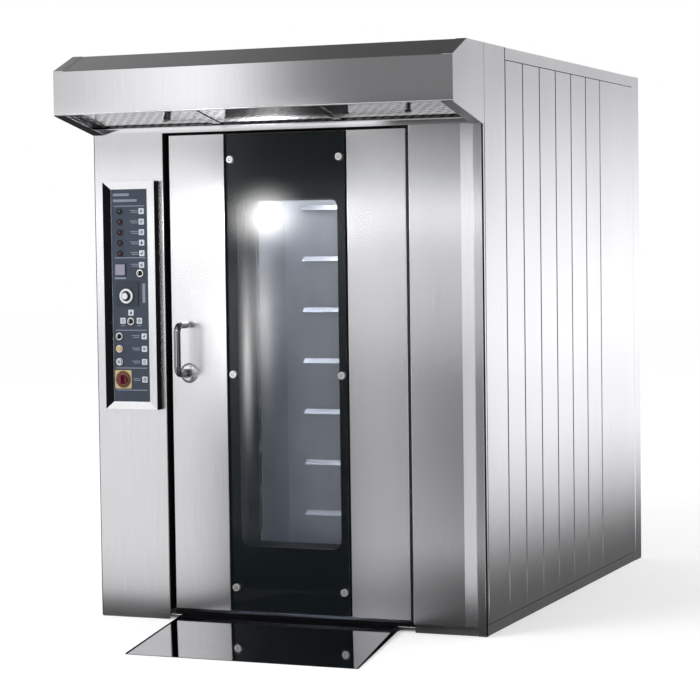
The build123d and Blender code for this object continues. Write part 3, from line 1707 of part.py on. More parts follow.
# Door skins: a wide folded pan at each side of the glass, the left one round the spindle
with BuildPart() as door_skins:
    with BuildSketch(Plane.XY.offset(door_bottom)):
        for edge in (door_left, door_right - skin_width):
            folded(
                [
                    (edge, pan_front),
                    (edge, door_face + skin_bend),
                    (edge + skin_bend, door_face),
                    (edge + skin_width - skin_bend, door_face),
                    (edge + skin_width, door_face + skin_bend),
                    (edge + skin_width, pan_front),
                ]
            )
    extrude(amount=door_top - door_bottom)
    with BuildSketch(facing(door_face - skin)):
        with Locations((spindle_x, spindle_z)):
            Circle(tube_bore)
    extrude(amount=-3 * skin, mode=Mode.SUBTRACT)
save(door_skins.part, "door_skins")

# Outer glass: one full-height pane with ground edges and six fixing holes
stud_radius = 6
spacer_radius = 9
fixing_places = [
    (x, fixing_middle_z + k * fixing_pitch)
    for x in (glass_left + fixing_inset, glass_right - fixing_inset)
    for k in (-1, 0, 1)
]
with BuildPart() as door_glass_outer:
    with BuildSketch(facing(glass_back)):
        span(glass_left, glass_right, door_bottom, door_top)
        with Locations(*fixing_places):
            Circle(stud_radius + seat_gap, mode=Mode.SUBTRACT)
    extrude(amount=glass_thickness)
    chamfer(faces().sort_by(Axis.Y)[0].outer_wire().edges(), 1)
save(door_glass_outer.part, "door_glass_outer")

# Inner pane, set flush in a frame on the back of the door
inner_pane_lap = 22
inner_pane_thickness = 6
with BuildPart() as door_glass_inner:
    with BuildSketch(facing(pan_back)):
        with Locations((glass_centre, window_middle_z)):
            RectangleRounded(
                reveal_width + 2 * inner_pane_lap, reveal_height + 2 * inner_pane_lap, window_corner / 2
            )
    extrude(amount=-inner_pane_thickness)
save(door_glass_inner.part, "door_glass_inner")

# Glass standoffs: domed caps in front, studs through the pane and spacers on the pan
with BuildPart() as glass_standoffs:
    for place in fixing_places:
        with BuildSketch(facing(glass_front)):
            with Locations(place):
                Circle(fixing_cap_radius)
        extrude(amount=fixing_cap_height)
        with BuildSketch(facing(glass_front)):
            with Locations(place):
                Circle(stud_radius)
        extrude(amount=-(pan_front - glass_front))
        with BuildSketch(facing(glass_back)):
            with Locations(place):
                Circle(spacer_radius)
        extrude(amount=-(pan_front - glass_back))
    chamfer(
        edges().filter_by(GeomType.CIRCLE).filter_by_position(
            Axis.Y, glass_front - fixing_cap_height - 1, glass_front - fixing_cap_height + 1
        ),
        2,
    )
save(glass_standoffs.part, "glass_standoffs")

# Door gasket: hollow strips round three sides and a wiper along the foot
gasket_depth = stop_front - pan_back - seat_gap
gasket_left = door_left + gasket_inset
gasket_right = door_right - gasket_inset
gasket_top = door_top - gasket_inset
gasket_edge = 3
wiper_low = turntable_top - 2
wiper_top = door_bottom + 24
wiper_thickness = 3
with BuildPart() as door_gasket:
    with BuildSketch(facing(pan_back)):
        span(gasket_left, gasket_left + gasket_width, door_bottom, gasket_top)
        span(gasket_right - gasket_width, gasket_right, door_bottom, gasket_top)
        span(gasket_left, gasket_right, gasket_top - gasket_width, gasket_top)
    extrude(amount=-gasket_depth)
    chamfer(faces().sort_by(Axis.Y)[-1].outer_wire().edges(), gasket_edge)
    with BuildSketch(Plane.YZ.offset(gasket_left + gasket_width)):
        with BuildLine():
            Polyline(
                (pan_back, wiper_top),
                (pan_back + wiper_thickness, wiper_top),
                (pan_back + 2 * wiper_thickness, wiper_low),
                (pan_back + wiper_thickness, wiper_low),
                (pan_back, wiper_top - 14),
                close=True,
            )
        make_face()
    extrude(amount=gasket_right - gasket_left - 2 * gasket_width)
save(door_gasket.part, "door_gasket")

# Handle rosette: a domed boss on the left skin round the spindle
rosette_bore = spindle_radius + running_gap
with BuildPart() as handle_rosette:
    with BuildSketch(Plane.YZ.offset(spindle_x)):
        with BuildLine():
            Line((door_face, spindle_z + rosette_bore), (door_face, spindle_z + rosette_radius))
            RadiusArc(
                (door_face, spindle_z + rosette_radius),
                (door_face - rosette_height, spindle_z + rosette_bore + rosette_rim),
                -rosette_dome,
            )
            Line(
                (door_face - rosette_height, spindle_z + rosette_bore + rosette_rim),
                (door_face - rosette_height, spindle_z + rosette_bore),
            )
            Line((door_face - rosette_height, spindle_z + rosette_bore), (door_face, spindle_z + rosette_bore))
        make_face()
    revolve(axis=Axis((spindle_x, 0, spindle_z), (0, 1, 0)))
save(handle_rosette.part, "handle_rosette")

# Handle lever: one bent bar, its lower arm on the spindle and its upper arm free
bar_y = door_face - handle_reach
bar_top = spindle_z + handle_pitch
bar_root = door_face - rosette_height - hub_gap
with BuildPart() as handle_lever:
    with BuildLine() as bar_path:
        FilletPolyline(
            (spindle_x, bar_root, spindle_z),
            (spindle_x, bar_y, spindle_z),
            (spindle_x, bar_y, bar_top),
            (spindle_x, door_face - handle_end_gap, bar_top),
            radius=handle_bend,
        )
    with BuildSketch(Plane((spindle_x, bar_root, spindle_z), z_dir=(0, -1, 0))):
        Circle(handle_radius)
    sweep()
    fillet(faces().filter_by(GeomType.PLANE).sort_by(Axis.Z)[-1].edges(), bar_end_round)
    with BuildSketch(facing(bar_root)):
        with Locations((spindle_x, spindle_z)):
            Circle(handle_radius + hub_lap)
    extrude(amount=hub_depth)
    with BuildSketch(facing(bar_root)):
        with Locations((spindle_x, spindle_z)):
            Circle(spindle_radius)
    extrude(amount=-(cam_front + cam_thickness + 4 - bar_root))
save(handle_lever.part, "handle_lever")

# Latch cam on the inner end of the spindle, with a tongue behind the left stile and a release grip
with BuildPart() as latch_cam:
    with BuildSketch(facing(cam_front)):
        with Locations((spindle_x, spindle_z)):
            Circle(spindle_radius + cam_wall)
            Rectangle(tongue_reach, tongue_width, rotation=180 - tongue_rest, align=(Align.MIN, Align.CENTER))
            Circle(spindle_radius, mode=Mode.SUBTRACT)
    extrude(amount=-cam_thickness)
save(latch_cam.part, "latch_cam")
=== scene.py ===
import json
from math import cos, pi, sin

import bmesh
import bpy
from mathutils import Matrix, Vector


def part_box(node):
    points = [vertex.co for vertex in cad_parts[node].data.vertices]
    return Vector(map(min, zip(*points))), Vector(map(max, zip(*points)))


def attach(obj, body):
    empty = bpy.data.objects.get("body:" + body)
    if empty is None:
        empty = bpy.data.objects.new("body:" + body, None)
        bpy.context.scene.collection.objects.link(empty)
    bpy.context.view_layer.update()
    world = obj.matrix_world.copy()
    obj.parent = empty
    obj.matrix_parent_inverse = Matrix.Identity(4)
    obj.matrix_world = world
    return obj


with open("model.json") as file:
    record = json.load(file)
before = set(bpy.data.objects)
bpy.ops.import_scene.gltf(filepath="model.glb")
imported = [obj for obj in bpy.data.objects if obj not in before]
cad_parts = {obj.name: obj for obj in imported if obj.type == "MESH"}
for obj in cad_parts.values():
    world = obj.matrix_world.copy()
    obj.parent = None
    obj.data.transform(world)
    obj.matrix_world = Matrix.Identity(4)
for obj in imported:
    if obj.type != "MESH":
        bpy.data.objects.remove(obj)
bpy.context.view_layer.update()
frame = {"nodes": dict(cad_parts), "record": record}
nodes = frame["nodes"]
scene = bpy.context.scene
scene.view_settings.view_transform = "Standard"

# Camera
eye = Vector((3.5197, -8.6644, 1.4839))
yaw, pitch, roll = 0.3890, -0.0489, 0.0133
focal_length = 116.75
ahead = Vector((-sin(yaw) * cos(pitch), cos(yaw) * cos(pitch), sin(pitch)))
level = Vector((cos(yaw), sin(yaw), 0))
down = ahead.cross(level)
right = cos(roll) * level + sin(roll) * down
down = cos(roll) * down - sin(roll) * level
lens = bpy.data.cameras.new("camera")
lens.sensor_width = 36
lens.lens = focal_length
camera = bpy.data.objects.new("camera", lens)
turn = Matrix((right, -down, -ahead)).transposed()
camera.matrix_world = Matrix.Translation(eye) @ turn.to_4x4()
scene.collection.objects.link(camera)
scene.camera = camera

# A Mix node's sockets for colours: its share, its two colours and its result
MIX_SHARE, MIX_FIRST, MIX_SECOND, MIX_RESULT = 0, 6, 7, 2


# Node helpers, where the owner of the nodes is a material or the world
def links(owner):
    return owner.node_tree.links


def add(owner, kind, **settings):
    """Adds a node and sets its properties and its input values."""
    node = owner.node_tree.nodes.new("ShaderNode" + kind)
    for name, value in settings.items():
        if hasattr(node, name):
            setattr(node, name, value)
        else:
            node.inputs[name.replace("_", " ")].default_value = value
    return node


finishes = {}


def finish(name, colour, roughness, metal=0.0, coat=0.0, streak=0.0):
    """A new finish with its shader, and the place on the piece that its patterns read."""
    material = finishes[name] = bpy.data.materials.new(name)
    material.use_nodes = True
    shader = material.node_tree.nodes["Principled BSDF"]
    looks = {
        "Base Color": (*colour, 1), "Roughness": roughness, "Metallic": metal,
        "Coat Weight": coat, "Anisotropic": streak,
    }
    for socket, value in looks.items():
        shader.inputs[socket].default_value = value
    return material, shader, add(material, "TexCoord")


def stretched(material, place, scale):
    """The piece's own place, scaled to stretch a pattern."""
    mapping = add(material, "Mapping", Scale=scale)
    links(material).new(place.outputs["Object"], mapping.inputs["Vector"])
    return mapping.outputs["Vector"]


def noise(material, where, scale, detail=4.0):
    node = add(material, "TexNoise", Scale=scale, Detail=detail)
    links(material).new(where, node.inputs["Vector"])
    return node.outputs["Fac"]


def ramp(owner, factor, *stops, straight=False):
    """A colour ramp between stops of a place and a colour or a grey.

    Two stops blend gently, unless they are to blend straight.
    """
    node = add(owner, "ValToRGB")
    links(owner).new(factor, node.inputs["Fac"])
    bands = node.color_ramp.elements
    if len(stops) == 2 and not straight:
        node.color_ramp.interpolation = "EASE"
    while len(bands) < len(stops):
        bands.new(0.5)
    for band, (spot, tone) in zip(bands, stops):
        band.position = spot
        band.color = (*tone, 1) if isinstance(tone, tuple) else (tone, tone, tone, 1)
    return node.outputs["Color"]


def span(material, value, low, high, to_low, to_high, clamp=True):
    """Maps a range of a value onto another."""
    node = add(material, "MapRange", clamp=clamp)
    links(material).new(value, node.inputs["Value"])
    ends = {"From Min": low, "From Max": high, "To Min": to_low, "To Max": to_high}
    for socket, end in ends.items():
        node.inputs[socket].default_value = end
    return node.outputs["Result"]


def mixed(material, first, second, how="MULTIPLY"):
    """Mixes two colours in full."""
    node = add(material, "Mix", data_type="RGBA", blend_type=how)
    node.inputs[MIX_SHARE].default_value = 1.0
    links(material).new(first, node.inputs[MIX_FIRST])
    links(material).new(second, node.inputs[MIX_SECOND])
    return node.outputs[MIX_RESULT]


def relief(material, shader, height, distance, strength=1.0):
    """Bumps a surface by a pattern's height in metres."""
    bump = add(material, "Bump", Strength=strength, Distance=distance)
    links(material).new(height, bump.inputs["Height"])
    links(material).new(bump.outputs["Normal"], shader.inputs["Normal"])


def parted(material, place):
    """The X, Y and Z of the piece's own place."""
    node = add(material, "SeparateXYZ")
    links(material).new(place.outputs["Object"], node.inputs["Vector"])
    return node.outputs


def shades(colour, spread):
    """A colour made darker and lighter by a share."""
    darker = tuple(part * (1 - spread) for part in colour)
    lighter = tuple(min(1, part * (1 + spread)) for part in colour)
    return darker, lighter


# Finishes
def brushed(name, colour, roughness, grain, streak=0.6, smudge=0.025):
    """Brushed stainless: fine scratches along the grain, a drift of tone and faint wipe marks."""
    material, shader, place = finish(name, colour, roughness, metal=1.0, streak=streak)
    scratches = noise(material, stretched(material, place, grain), scale=1.0, detail=6.0)
    drift = noise(material, stretched(material, place, (1, 1, 0.5)), scale=2.2, detail=3.0)
    wipes = noise(material, stretched(material, place, (2.5, 2.5, 1.2)), scale=1.0, detail=3.0)
    darker, lighter = shades(colour, smudge)
    tone = ramp(material, drift, (0.3, darker), (0.7, lighter))
    lines = ramp(material, scratches, (0.3, 0.93), (0.7, 1.0))
    links(material).new(mixed(material, tone, lines), shader.inputs["Base Color"])
    rough = span(material, wipes, 0.3, 0.75, roughness * 0.95, roughness * 1.06, clamp=False)
    links(material).new(rough, shader.inputs["Roughness"])
    relief(material, shader, scratches, distance=0.00005, strength=0.5)


def polished(name, colour, roughness, coat=0.0):
    """Polished steel with hairline marks."""
    material, shader, place = finish(name, colour, roughness, metal=1.0, coat=coat)
    marks = noise(material, stretched(material, place, (40, 40, 900)), scale=1.0)
    rough = span(material, marks, 0.35, 0.8, roughness * 0.7, roughness * 1.8)
    links(material).new(rough, shader.inputs["Roughness"])
    haze = noise(material, place.outputs["Object"], scale=6.0, detail=3.0)
    tone = ramp(material, haze, (0.3, tuple(part * 0.95 for part in colour)), (0.7, colour))
    links(material).new(tone, shader.inputs["Base Color"])


def painted(name, colour, roughness, speckle=0.12, grain=420, coat=0.0, shine=0.5):
    """Paint or moulded plastic with a fine orange-peel and a slight unevenness of tone."""
    material, shader, place = finish(name, colour, roughness, coat=coat)
    shader.inputs["Specular IOR Level"].default_value = shine
    cloud = noise(material, place.outputs["Object"], scale=9.0)
    darker, lighter = shades(colour, speckle)
    tone = ramp(material, cloud, (0.3, darker), (0.7, lighter))
    links(material).new(tone, shader.inputs["Base Color"])
    peel = noise(material, place.outputs["Object"], grain, detail=2.0)
    rough = span(material, peel, 0.3, 0.7, roughness * 0.85, roughness * 1.15)
    links(material).new(rough, shader.inputs["Roughness"])
    relief(material, shader, peel, distance=0.00008, strength=0.4)


def lens_finish(name):
    """Lamp caps: one green on top and the rest dark red."""
    dark_red, green = (0.16, 0.008, 0.02), (0.01, 0.12, 0.05)
    green_from = 1.58
    material, shader, place = finish(name, (0.2, 0.01, 0.02), 0.15, coat=1.0)
    height = span(material, parted(material, place)["Z"], green_from, green_from + 0.006, 0, 1)
    colour = ramp(material, height, (0.49, dark_red), (0.51, green))
    links(material).new(colour, shader.inputs["Base Color"])
    facets = add(material, "TexVoronoi", Scale=420.0)
    links(material).new(place.outputs["Object"], facets.inputs["Vector"])
    relief(material, shader, facets.outputs["Distance"], distance=0.0003, strength=0.4)


def wool_finish(name):
    """Mineral wool: a matted tangle of fibres."""
    material, shader, place = finish(name, (0.42, 0.36, 0.2), 0.95)
    tangle = noise(material, place.outputs["Object"], scale=130.0, detail=8.0)
    colour = ramp(material, tangle, (0.3, (0.27, 0.22, 0.11)), (0.7, (0.5, 0.44, 0.27)))
    links(material).new(colour, shader.inputs["Base Color"])
    relief(material, shader, tangle, distance=0.004)


def element_finish(name):
    """Heater sheath: dull steel with heat tints."""
    brown, straw, blue = (0.16, 0.13, 0.14), (0.3, 0.25, 0.2), (0.22, 0.22, 0.3)
    material, shader, place = finish(name, (0.3, 0.27, 0.26), 0.45, metal=0.9)
    tint = noise(material, place.outputs["Object"], scale=14.0)
    colour = ramp(material, tint, (0.3, brown), (0.5, straw), (0.7, blue))
    links(material).new(colour, shader.inputs["Base Color"])


def iron_finish(name):
    """Cast iron with scale and pits."""
    material, shader, place = finish(name, (0.12, 0.11, 0.1), 0.8, metal=0.4)
    pits = noise(material, place.outputs["Object"], scale=160.0, detail=6.0)
    colour = ramp(material, pits, (0.3, (0.16, 0.1, 0.07)), (0.7, (0.1, 0.095, 0.09)))
    links(material).new(colour, shader.inputs["Base Color"])
    relief(material, shader, pits, distance=0.001)


def mesh_finish(name):
    """Grease filter: bright sheet with a shallow pattern of wavy ribs in two directions."""
    material, shader, place = finish(name, (0.4, 0.4, 0.42), 0.14, metal=1.0)
    waves = []
    for slant in (-0.62, 0.62):
        mapping = add(material, "Mapping", Rotation=(0, 0, slant))
        links(material).new(place.outputs["Object"], mapping.inputs["Vector"])
        wave = add(material, "TexWave", Scale=10.0, Distortion=1.6, Detail=1.0, Detail_Scale=3.0)
        links(material).new(mapping.outputs["Vector"], wave.inputs["Vector"])
        waves.append(wave.outputs["Color"])
    knit = mixed(material, *waves, "LIGHTEN")
    colour = ramp(material, knit, (0.3, 0.11), (0.8, 0.34))
    links(material).new(colour, shader.inputs["Base Color"])
    relief(material, shader, knit, distance=0.0012, strength=0.25)


def pane(name, tint, cover):
    """Clear toughened glass, barely uneven. The cover is the share of the view that it takes."""
    material, shader, place = finish(name, tint, 0.0)
    shader.inputs["IOR"].default_value = pane_index
    shader.inputs["Specular IOR Level"].default_value = 1.0
    smear = noise(material, stretched(material, place, (3, 3, 1)), scale=2.0)
    veil = span(material, smear, 0.3, 0.8, cover * 0.9, cover * 1.1)
    links(material).new(veil, shader.inputs["Alpha"])
    swell = noise(material, place.outputs["Object"], scale=3.0, detail=2.0)
    relief(material, shader, swell, distance=0.0006, strength=0.3)
    rough = span(material, smear, 0.3, 0.8, 0.0, 0.03)
    links(material).new(rough, shader.inputs["Roughness"])


glass_tint, pane_index = (0.02, 0.03, 0.035), 1.8
brushed("satin_steel", (0.80, 0.80, 0.825), 0.26, grain=(900, 900, 6))
brushed("header_steel", (0.80, 0.80, 0.825), 0.1, grain=(6, 900, 900), streak=0.3)
brushed("inner_steel", (0.66, 0.69, 0.75), 0.42, grain=(300, 300, 8), streak=0.3, smudge=0.1)
brushed("wheel_steel", (0.6, 0.61, 0.63), 0.35, grain=(260, 260, 260), streak=0.2, smudge=0.1)
polished("polished_steel", (0.82, 0.82, 0.83), 0.09)
polished("collar_chrome", (0.85, 0.85, 0.86), 0.07)
polished("ramp_steel", (0.62, 0.62, 0.64), 0.045)
polished("fixing_steel", (0.93, 0.93, 0.94), 0.38)
# The handle's steel is made dark: a painted dark reflection, standing in for the dark surroundings
# that its chrome reflects
polished("handle_steel", (0.2, 0.2, 0.21), 0.1, coat=1.0)
painted("frame_steel", (0.05, 0.05, 0.055), 0.5, speckle=0.25, grain=200)
painted("motor_paint", (0.07, 0.1, 0.14), 0.4)
painted("panel_print", (0.042, 0.056, 0.082), 0.42, speckle=0.05, shine=0.35)
painted("instrument_black", (0.034, 0.043, 0.064), 0.42, speckle=0.1, shine=0.3)
painted("isolator_yellow", (0.60, 0.46, 0.24), 0.35, speckle=0.06)
painted("isolator_red", (0.13, 0.006, 0.02), 0.25, speckle=0.1, coat=0.4)
painted("isolator_brown", (0.13, 0.045, 0.015), 0.3, speckle=0.15)
painted("knob_black", (0.012, 0.012, 0.015), 0.25, speckle=0.2, coat=0.3)
painted("start_yellow", (0.68, 0.47, 0.22), 0.35, speckle=0.06)
painted("steam_grey", (0.30, 0.32, 0.36), 0.35, speckle=0.06)
painted("tray_zinc", (0.42, 0.43, 0.44), 0.4, speckle=0.15)
painted("gland_plastic", (0.1, 0.1, 0.11), 0.45, speckle=0.1)
painted("gasket_rubber", (0.018, 0.018, 0.02), 0.6, speckle=0.2, grain=700)
painted("icon_grey", (0.66, 0.70, 0.78), 0.4, speckle=0.05)
painted("mark_grey", (0.24, 0.27, 0.34), 0.4, speckle=0.05)
painted("glyph_slate", (0.06, 0.085, 0.13), 0.4, speckle=0.05)
painted("dial_white", (0.82, 0.83, 0.85), 0.3, speckle=0.03)
painted("screen_grey", (0.27, 0.265, 0.36), 0.2, speckle=0.08, coat=0.3)
painted("frit_black", (0.004, 0.004, 0.005), 0.7, speckle=0.3, shine=0.1)
painted("frit_grey", (0.19, 0.19, 0.2), 0.8, speckle=0.2, shine=0.1)
# A black for seals, also used as painted shade in the gaps and under the left hem, and as a
# painted dark reflection on the bezel
painted("seal_and_shade_black", (0.004, 0.004, 0.005), 0.8, speckle=0.2, grain=700, shine=0.1)
painted("flange_grey", (0.06, 0.06, 0.066), 0.4, speckle=0.15)
lens_finish("lamp_lens")
wool_finish("mineral_wool")
element_finish("element_steel")
iron_finish("cascade_iron")
mesh_finish("filter_mesh")
pane("outer_glass", glass_tint, cover=0.3)
pane("inner_glass", glass_tint, cover=0.1)

# The solids take the finish of their slot, but for four with one of their own
own_finishes = {
    "ramp": "ramp_steel", "header_panel": "header_steel",
    "glass_standoffs": "fixing_steel", "handle_lever": "handle_steel",
}
for part in frame["record"]["subparts"]:
    dressed = nodes[part["node"]].data.materials
    dressed.clear()
    dressed.append(finishes[own_finishes.get(part["node"], part["material_slot"])])


# Shaping helpers
def front(node):
    """The depth of a node's front."""
    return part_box(node)[0].y


def middle(node):
    """The middle of a node, across and up."""
    low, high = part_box(node)
    return (low.x + high.x) / 2, (low.z + high.z) / 2


def place_piece(name, shape, dress, body):
    """Makes a piece of a finished shape, dresses it and lets it ride on a body."""
    bmesh.ops.recalc_face_normals(shape, faces=shape.faces)
    mesh = bpy.data.meshes.new(name)
    shape.to_mesh(mesh)
    shape.free()
    mesh.materials.append(finishes[dress])
    made = bpy.data.objects.new(name, mesh)
    scene.collection.objects.link(made)
    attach(made, body)


def join(shape, part, place=Matrix.Identity(4)):
    """Sets a finished part into a larger shape at its place."""
    bmesh.ops.transform(part, matrix=place, verts=part.verts)
    mesh = bpy.data.meshes.new("part")
    part.to_mesh(mesh)
    part.free()
    shape.from_mesh(mesh)
    bpy.data.meshes.remove(mesh)


def facing_front(x, y, z, turned=0.0):
    """Stands a part that lies flat up, so that its top looks to the front."""
    upended = Matrix.Rotation(pi / 2, 4, "X") @ Matrix.Rotation(turned, 4, "Z")
    return Matrix.Translation((x, y, z)) @ upended


def draw_out(shape, through):
    """Draws the faces of a flat shape out to their thickness."""
    drawn = bmesh.ops.extrude_face_region(shape, geom=list(shape.faces))["geom"]
    moved = [item for item in drawn if isinstance(item, bmesh.types.BMVert)]
    bmesh.ops.translate(shape, vec=through, verts=moved)


def round_off(shape, geom, radius, segments, affect):
    """Rounds corners or edges."""
    bmesh.ops.bevel(
        shape, geom=geom, offset=radius, offset_type="OFFSET", segments=segments,
        profile=0.5, affect=affect, material=-1,
    )


def plate(shape, x, z, width, height, corner, back, thickness, turned=0.0):
    """Adds a plate with rounded corners that faces the front, its back face at the depth given."""
    part = bmesh.new()
    bmesh.ops.create_grid(part, x_segments=1, y_segments=1, size=0.5)
    bmesh.ops.scale(part, vec=(width, height, 1), verts=part.verts)
    if corner:
        round_off(part, list(part.verts), corner, 4, "VERTICES")
    draw_out(part, (0, 0, thickness))
    join(shape, part, facing_front(x, back, z, turned))


def disc(shape, x, z, radius, back, thickness, steps=32):
    """Adds a round plate that faces the front."""
    part = bmesh.new()
    bmesh.ops.create_circle(part, cap_ends=True, segments=steps, radius=radius)
    draw_out(part, (0, 0, thickness))
    join(shape, part, facing_front(x, back, z))


def lathed(shape, x, z, face, outline, steps=32):
    """Adds a part turned from a closed outline of radii and of heights in front of a face."""
    part = bmesh.new()
    corners = [part.verts.new((radius, 0, height)) for radius, height in outline]
    rim = [part.edges.new(pair) for pair in zip(corners, corners[1:] + corners[:1])]
    bmesh.ops.spin(
        part, geom=corners + rim, axis=(0, 0, 1), cent=(0, 0, 0),
        angle=2 * pi, steps=steps, use_merge=True,
    )
    same_place = 0.00001
    bmesh.ops.remove_doubles(part, verts=part.verts, dist=same_place)
    bmesh.ops.dissolve_degenerate(part, edges=part.edges, dist=same_place)
    join(shape, part, facing_front(x, face, z))


def ring(shape, x, z, face, inner, outer, thickness, steps=32):
    """Adds a flat ring in front of a face."""
    outline = ((inner, 0), (inner, thickness), (outer, thickness), (outer, 0))
    lathed(shape, x, z, face, outline, steps)


def bar(shape, low, high, rounding=0.0006):
    """Adds a bar between two corners, with rounded edges."""
    low, high = Vector(low), Vector(high)
    part = bmesh.new()
    bmesh.ops.create_cube(part, size=1)
    bmesh.ops.scale(part, vec=high - low, verts=part.verts)
    round_off(part, list(part.edges), rounding, 2, "EDGES")
    join(shape, part, Matrix.Translation((low + high) / 2))


def sheet(shape, corners, through):
    """Adds a flat sheet between corners, drawn out to its thickness."""
    part = bmesh.new()
    bmesh.ops.contextual_create(part, geom=[part.verts.new(corner) for corner in corners])
    draw_out(part, through)
    join(shape, part)


def frame_round(opening, corner, outer, back, depth):
    """A frame that faces the front, between a round-cornered opening and a rectangle.

    Both are given by their left, right, foot and head.
    """
    shape = bmesh.new()
    for (left_edge, right_edge, foot, head), rounding in ((opening, corner), (outer, 0)):
        centre = ((left_edge + right_edge) / 2, back, (foot + head) / 2)
        size = Matrix.Diagonal((right_edge - left_edge, head - foot, 1, 1))
        corners = bmesh.ops.create_grid(shape, x_segments=1, y_segments=1, size=0.5)["verts"]
        bmesh.ops.transform(shape, matrix=facing_front(*centre) @ size, verts=corners)
        if rounding:
            round_off(shape, corners, rounding, 8, "VERTICES")
        bmesh.ops.delete(shape, geom=list(shape.faces), context="FACES_ONLY")
    bmesh.ops.triangle_fill(shape, use_beauty=True, edges=list(shape.edges))
    draw_out(shape, (0, depth, 0))
    return shape


# Borders printed behind the two panes, and the dark sleeve between the panes:
# each opening is given by its left, right, foot and head
outer_window = (-0.200, 0.219, 0.300, 1.642)
inner_window = (-0.1656, 0.1816, 0.308, 1.634)
sleeve_opening = (-0.2108, 0.2268, 0.2862, 1.6498)
outwards = (-1, 1, -1, 1)
print_gap, edge_gap, sleeve_wall = 0.0004, 0.001, 0.001
# Each border's name, pane, opening, corner radius and finish
borders = (
    ("window_border", "door_glass_outer", outer_window, 0.038, "frit_black"),
    ("inner_border", "door_glass_inner", inner_window, 0.012, "frit_grey"),
)
for name, glass, opening, corner, dress in borders:
    low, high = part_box(glass)
    edges = (low.x + edge_gap, high.x - edge_gap, low.z + edge_gap, high.z - edge_gap)
    border = frame_round(opening, corner, edges, high.y + print_gap, print_gap)
    place_piece(name, border, dress, "door")
sleeve_inside = tuple(edge - way * sleeve_wall for edge, way in zip(sleeve_opening, outwards))
sleeve_front = front("door_pan") + print_gap
sleeve_depth = front("door_glass_inner") - front("door_pan") - 2 * print_gap
sleeve = frame_round(sleeve_inside, 0.002, sleeve_opening, sleeve_front, sleeve_depth)
place_piece("window_sleeve", sleeve, "frit_grey", "door")

# Black seals beside the glass
seal_foot, seal_head = 0.047, 1.892
seal_front, seal_back = front("door_glass_outer") + 0.0004, -0.7132
seals = bmesh.new()
for left_edge, right_edge in ((-0.2468, -0.2382), (0.2542, 0.2588)):
    bar(seals, (left_edge, seal_front, seal_foot), (right_edge, seal_back, seal_head))
place_piece("door_seals", seals, "seal_and_shade_black", "door")

# Black lips at the left of the opening, along its head and along the sill: painted shade, dark
# sheets put in the gaps round the door where there is only shadow
gap_shade_front, gap_shade_back = -0.7405, -0.66
opening_left, opening_right, opening_head = -0.5013, 0.515, 1.9034
gap_shade = bmesh.new()
bar(gap_shade, (-0.5043, gap_shade_front, 0.04), (opening_left, gap_shade_back, opening_head))
bar(gap_shade, (opening_left, gap_shade_front, 1.9004), (opening_right, gap_shade_back, opening_head))
bar(gap_shade, (-0.490, -0.7222, 0.0206), (opening_right, -0.7194, 0.034))
place_piece("opening_gap_shade", gap_shade, "seal_and_shade_black", "cabinet")

# A dark ring on the cap of each glass fixing
fixing_radius, fixing_middle = 0.015, 0.967
ring_inner, ring_outer, ring_height = 0.0042, 0.0062, 0.0004
fixing_low, fixing_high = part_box("glass_standoffs")
fixing_rings = bmesh.new()
for x in (fixing_low.x + fixing_radius, fixing_high.x - fixing_radius):
    for z in (fixing_low.z + fixing_radius, fixing_middle, fixing_high.z - fixing_radius):
        ring(fixing_rings, x, z, fixing_low.y, ring_inner, ring_outer, ring_height, steps=24)
place_piece("fixing_rings", fixing_rings, "flange_grey", "door")

# Control panel: a tile beside each pilot lamp, the display, the mode selector and each control
panel_low, panel_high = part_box("control_plate")
panel_front = panel_low.y
panel_x, panel_z = middle("control_plate")
print_depth = 0.0004
tile = 0.023
tile_x = panel_x + 0.052
lamp_heights = (1.603, 1.562, 1.521, 1.480, 1.439)
lamp_tiles = [(tile_x, z) for z in lamp_heights]
display_tiles = [(tile_x - 0.002, 1.393)]
mode_tiles = [(panel_x - 0.036, 1.175), (panel_x + 0.036, 1.175), (panel_x, 1.207)]
control_tiles = [(tile_x + 0.004, z) for z in (1.114, 1.065, 1.014, 0.945)]
tile_places = lamp_tiles + display_tiles + mode_tiles + control_tiles
tiles = bmesh.new()
for x, z in tile_places:
    plate(tiles, x, z, tile, tile, 0.003, panel_front, print_depth)
place_piece("panel_icons", tiles, "icon_grey", "cabinet")

# A glyph on each tile, of small bars: their place on it, width, height, corner and turn
glyph_bars = (
    ((0, 0, 0.015, 0.003, 0.001, pi / 4), (0, 0, 0.015, 0.003, 0.001, 3 * pi / 4)),
    tuple((0, rise, 0.013, 0.0022, 0.0008, 0) for rise in (-0.005, 0, 0.005)),
    ((0, 0, 0.003, 0.006, 0.001, 0),),
    ((0, 0.004, 0.003, 0.006, 0.001, 0),),
    ((0.0015, 0, 0.004, 0.014, 0.001, -0.5), (-0.0015, -0.001, 0.009, 0.0025, 0.001, 0)),
)
ringed, bulbed = 2, 3
glyphs = bmesh.new()
glyph_back = panel_front - print_depth
for number, (x, z) in enumerate(tile_places):
    kind = number % len(glyph_bars)
    if kind == ringed:
        ring(glyphs, x, z, glyph_back, 0.0045, 0.007, print_depth, steps=20)
    elif kind == bulbed:
        disc(glyphs, x, z - 0.002, 0.005, glyph_back, print_depth, steps=20)
    for aside, rise, width, height, corner, turned in glyph_bars[kind]:
        plate(glyphs, x + aside, z + rise, width, height, corner, glyph_back, print_depth, turned)
place_piece("panel_glyphs", glyphs, "glyph_slate", "cabinet")

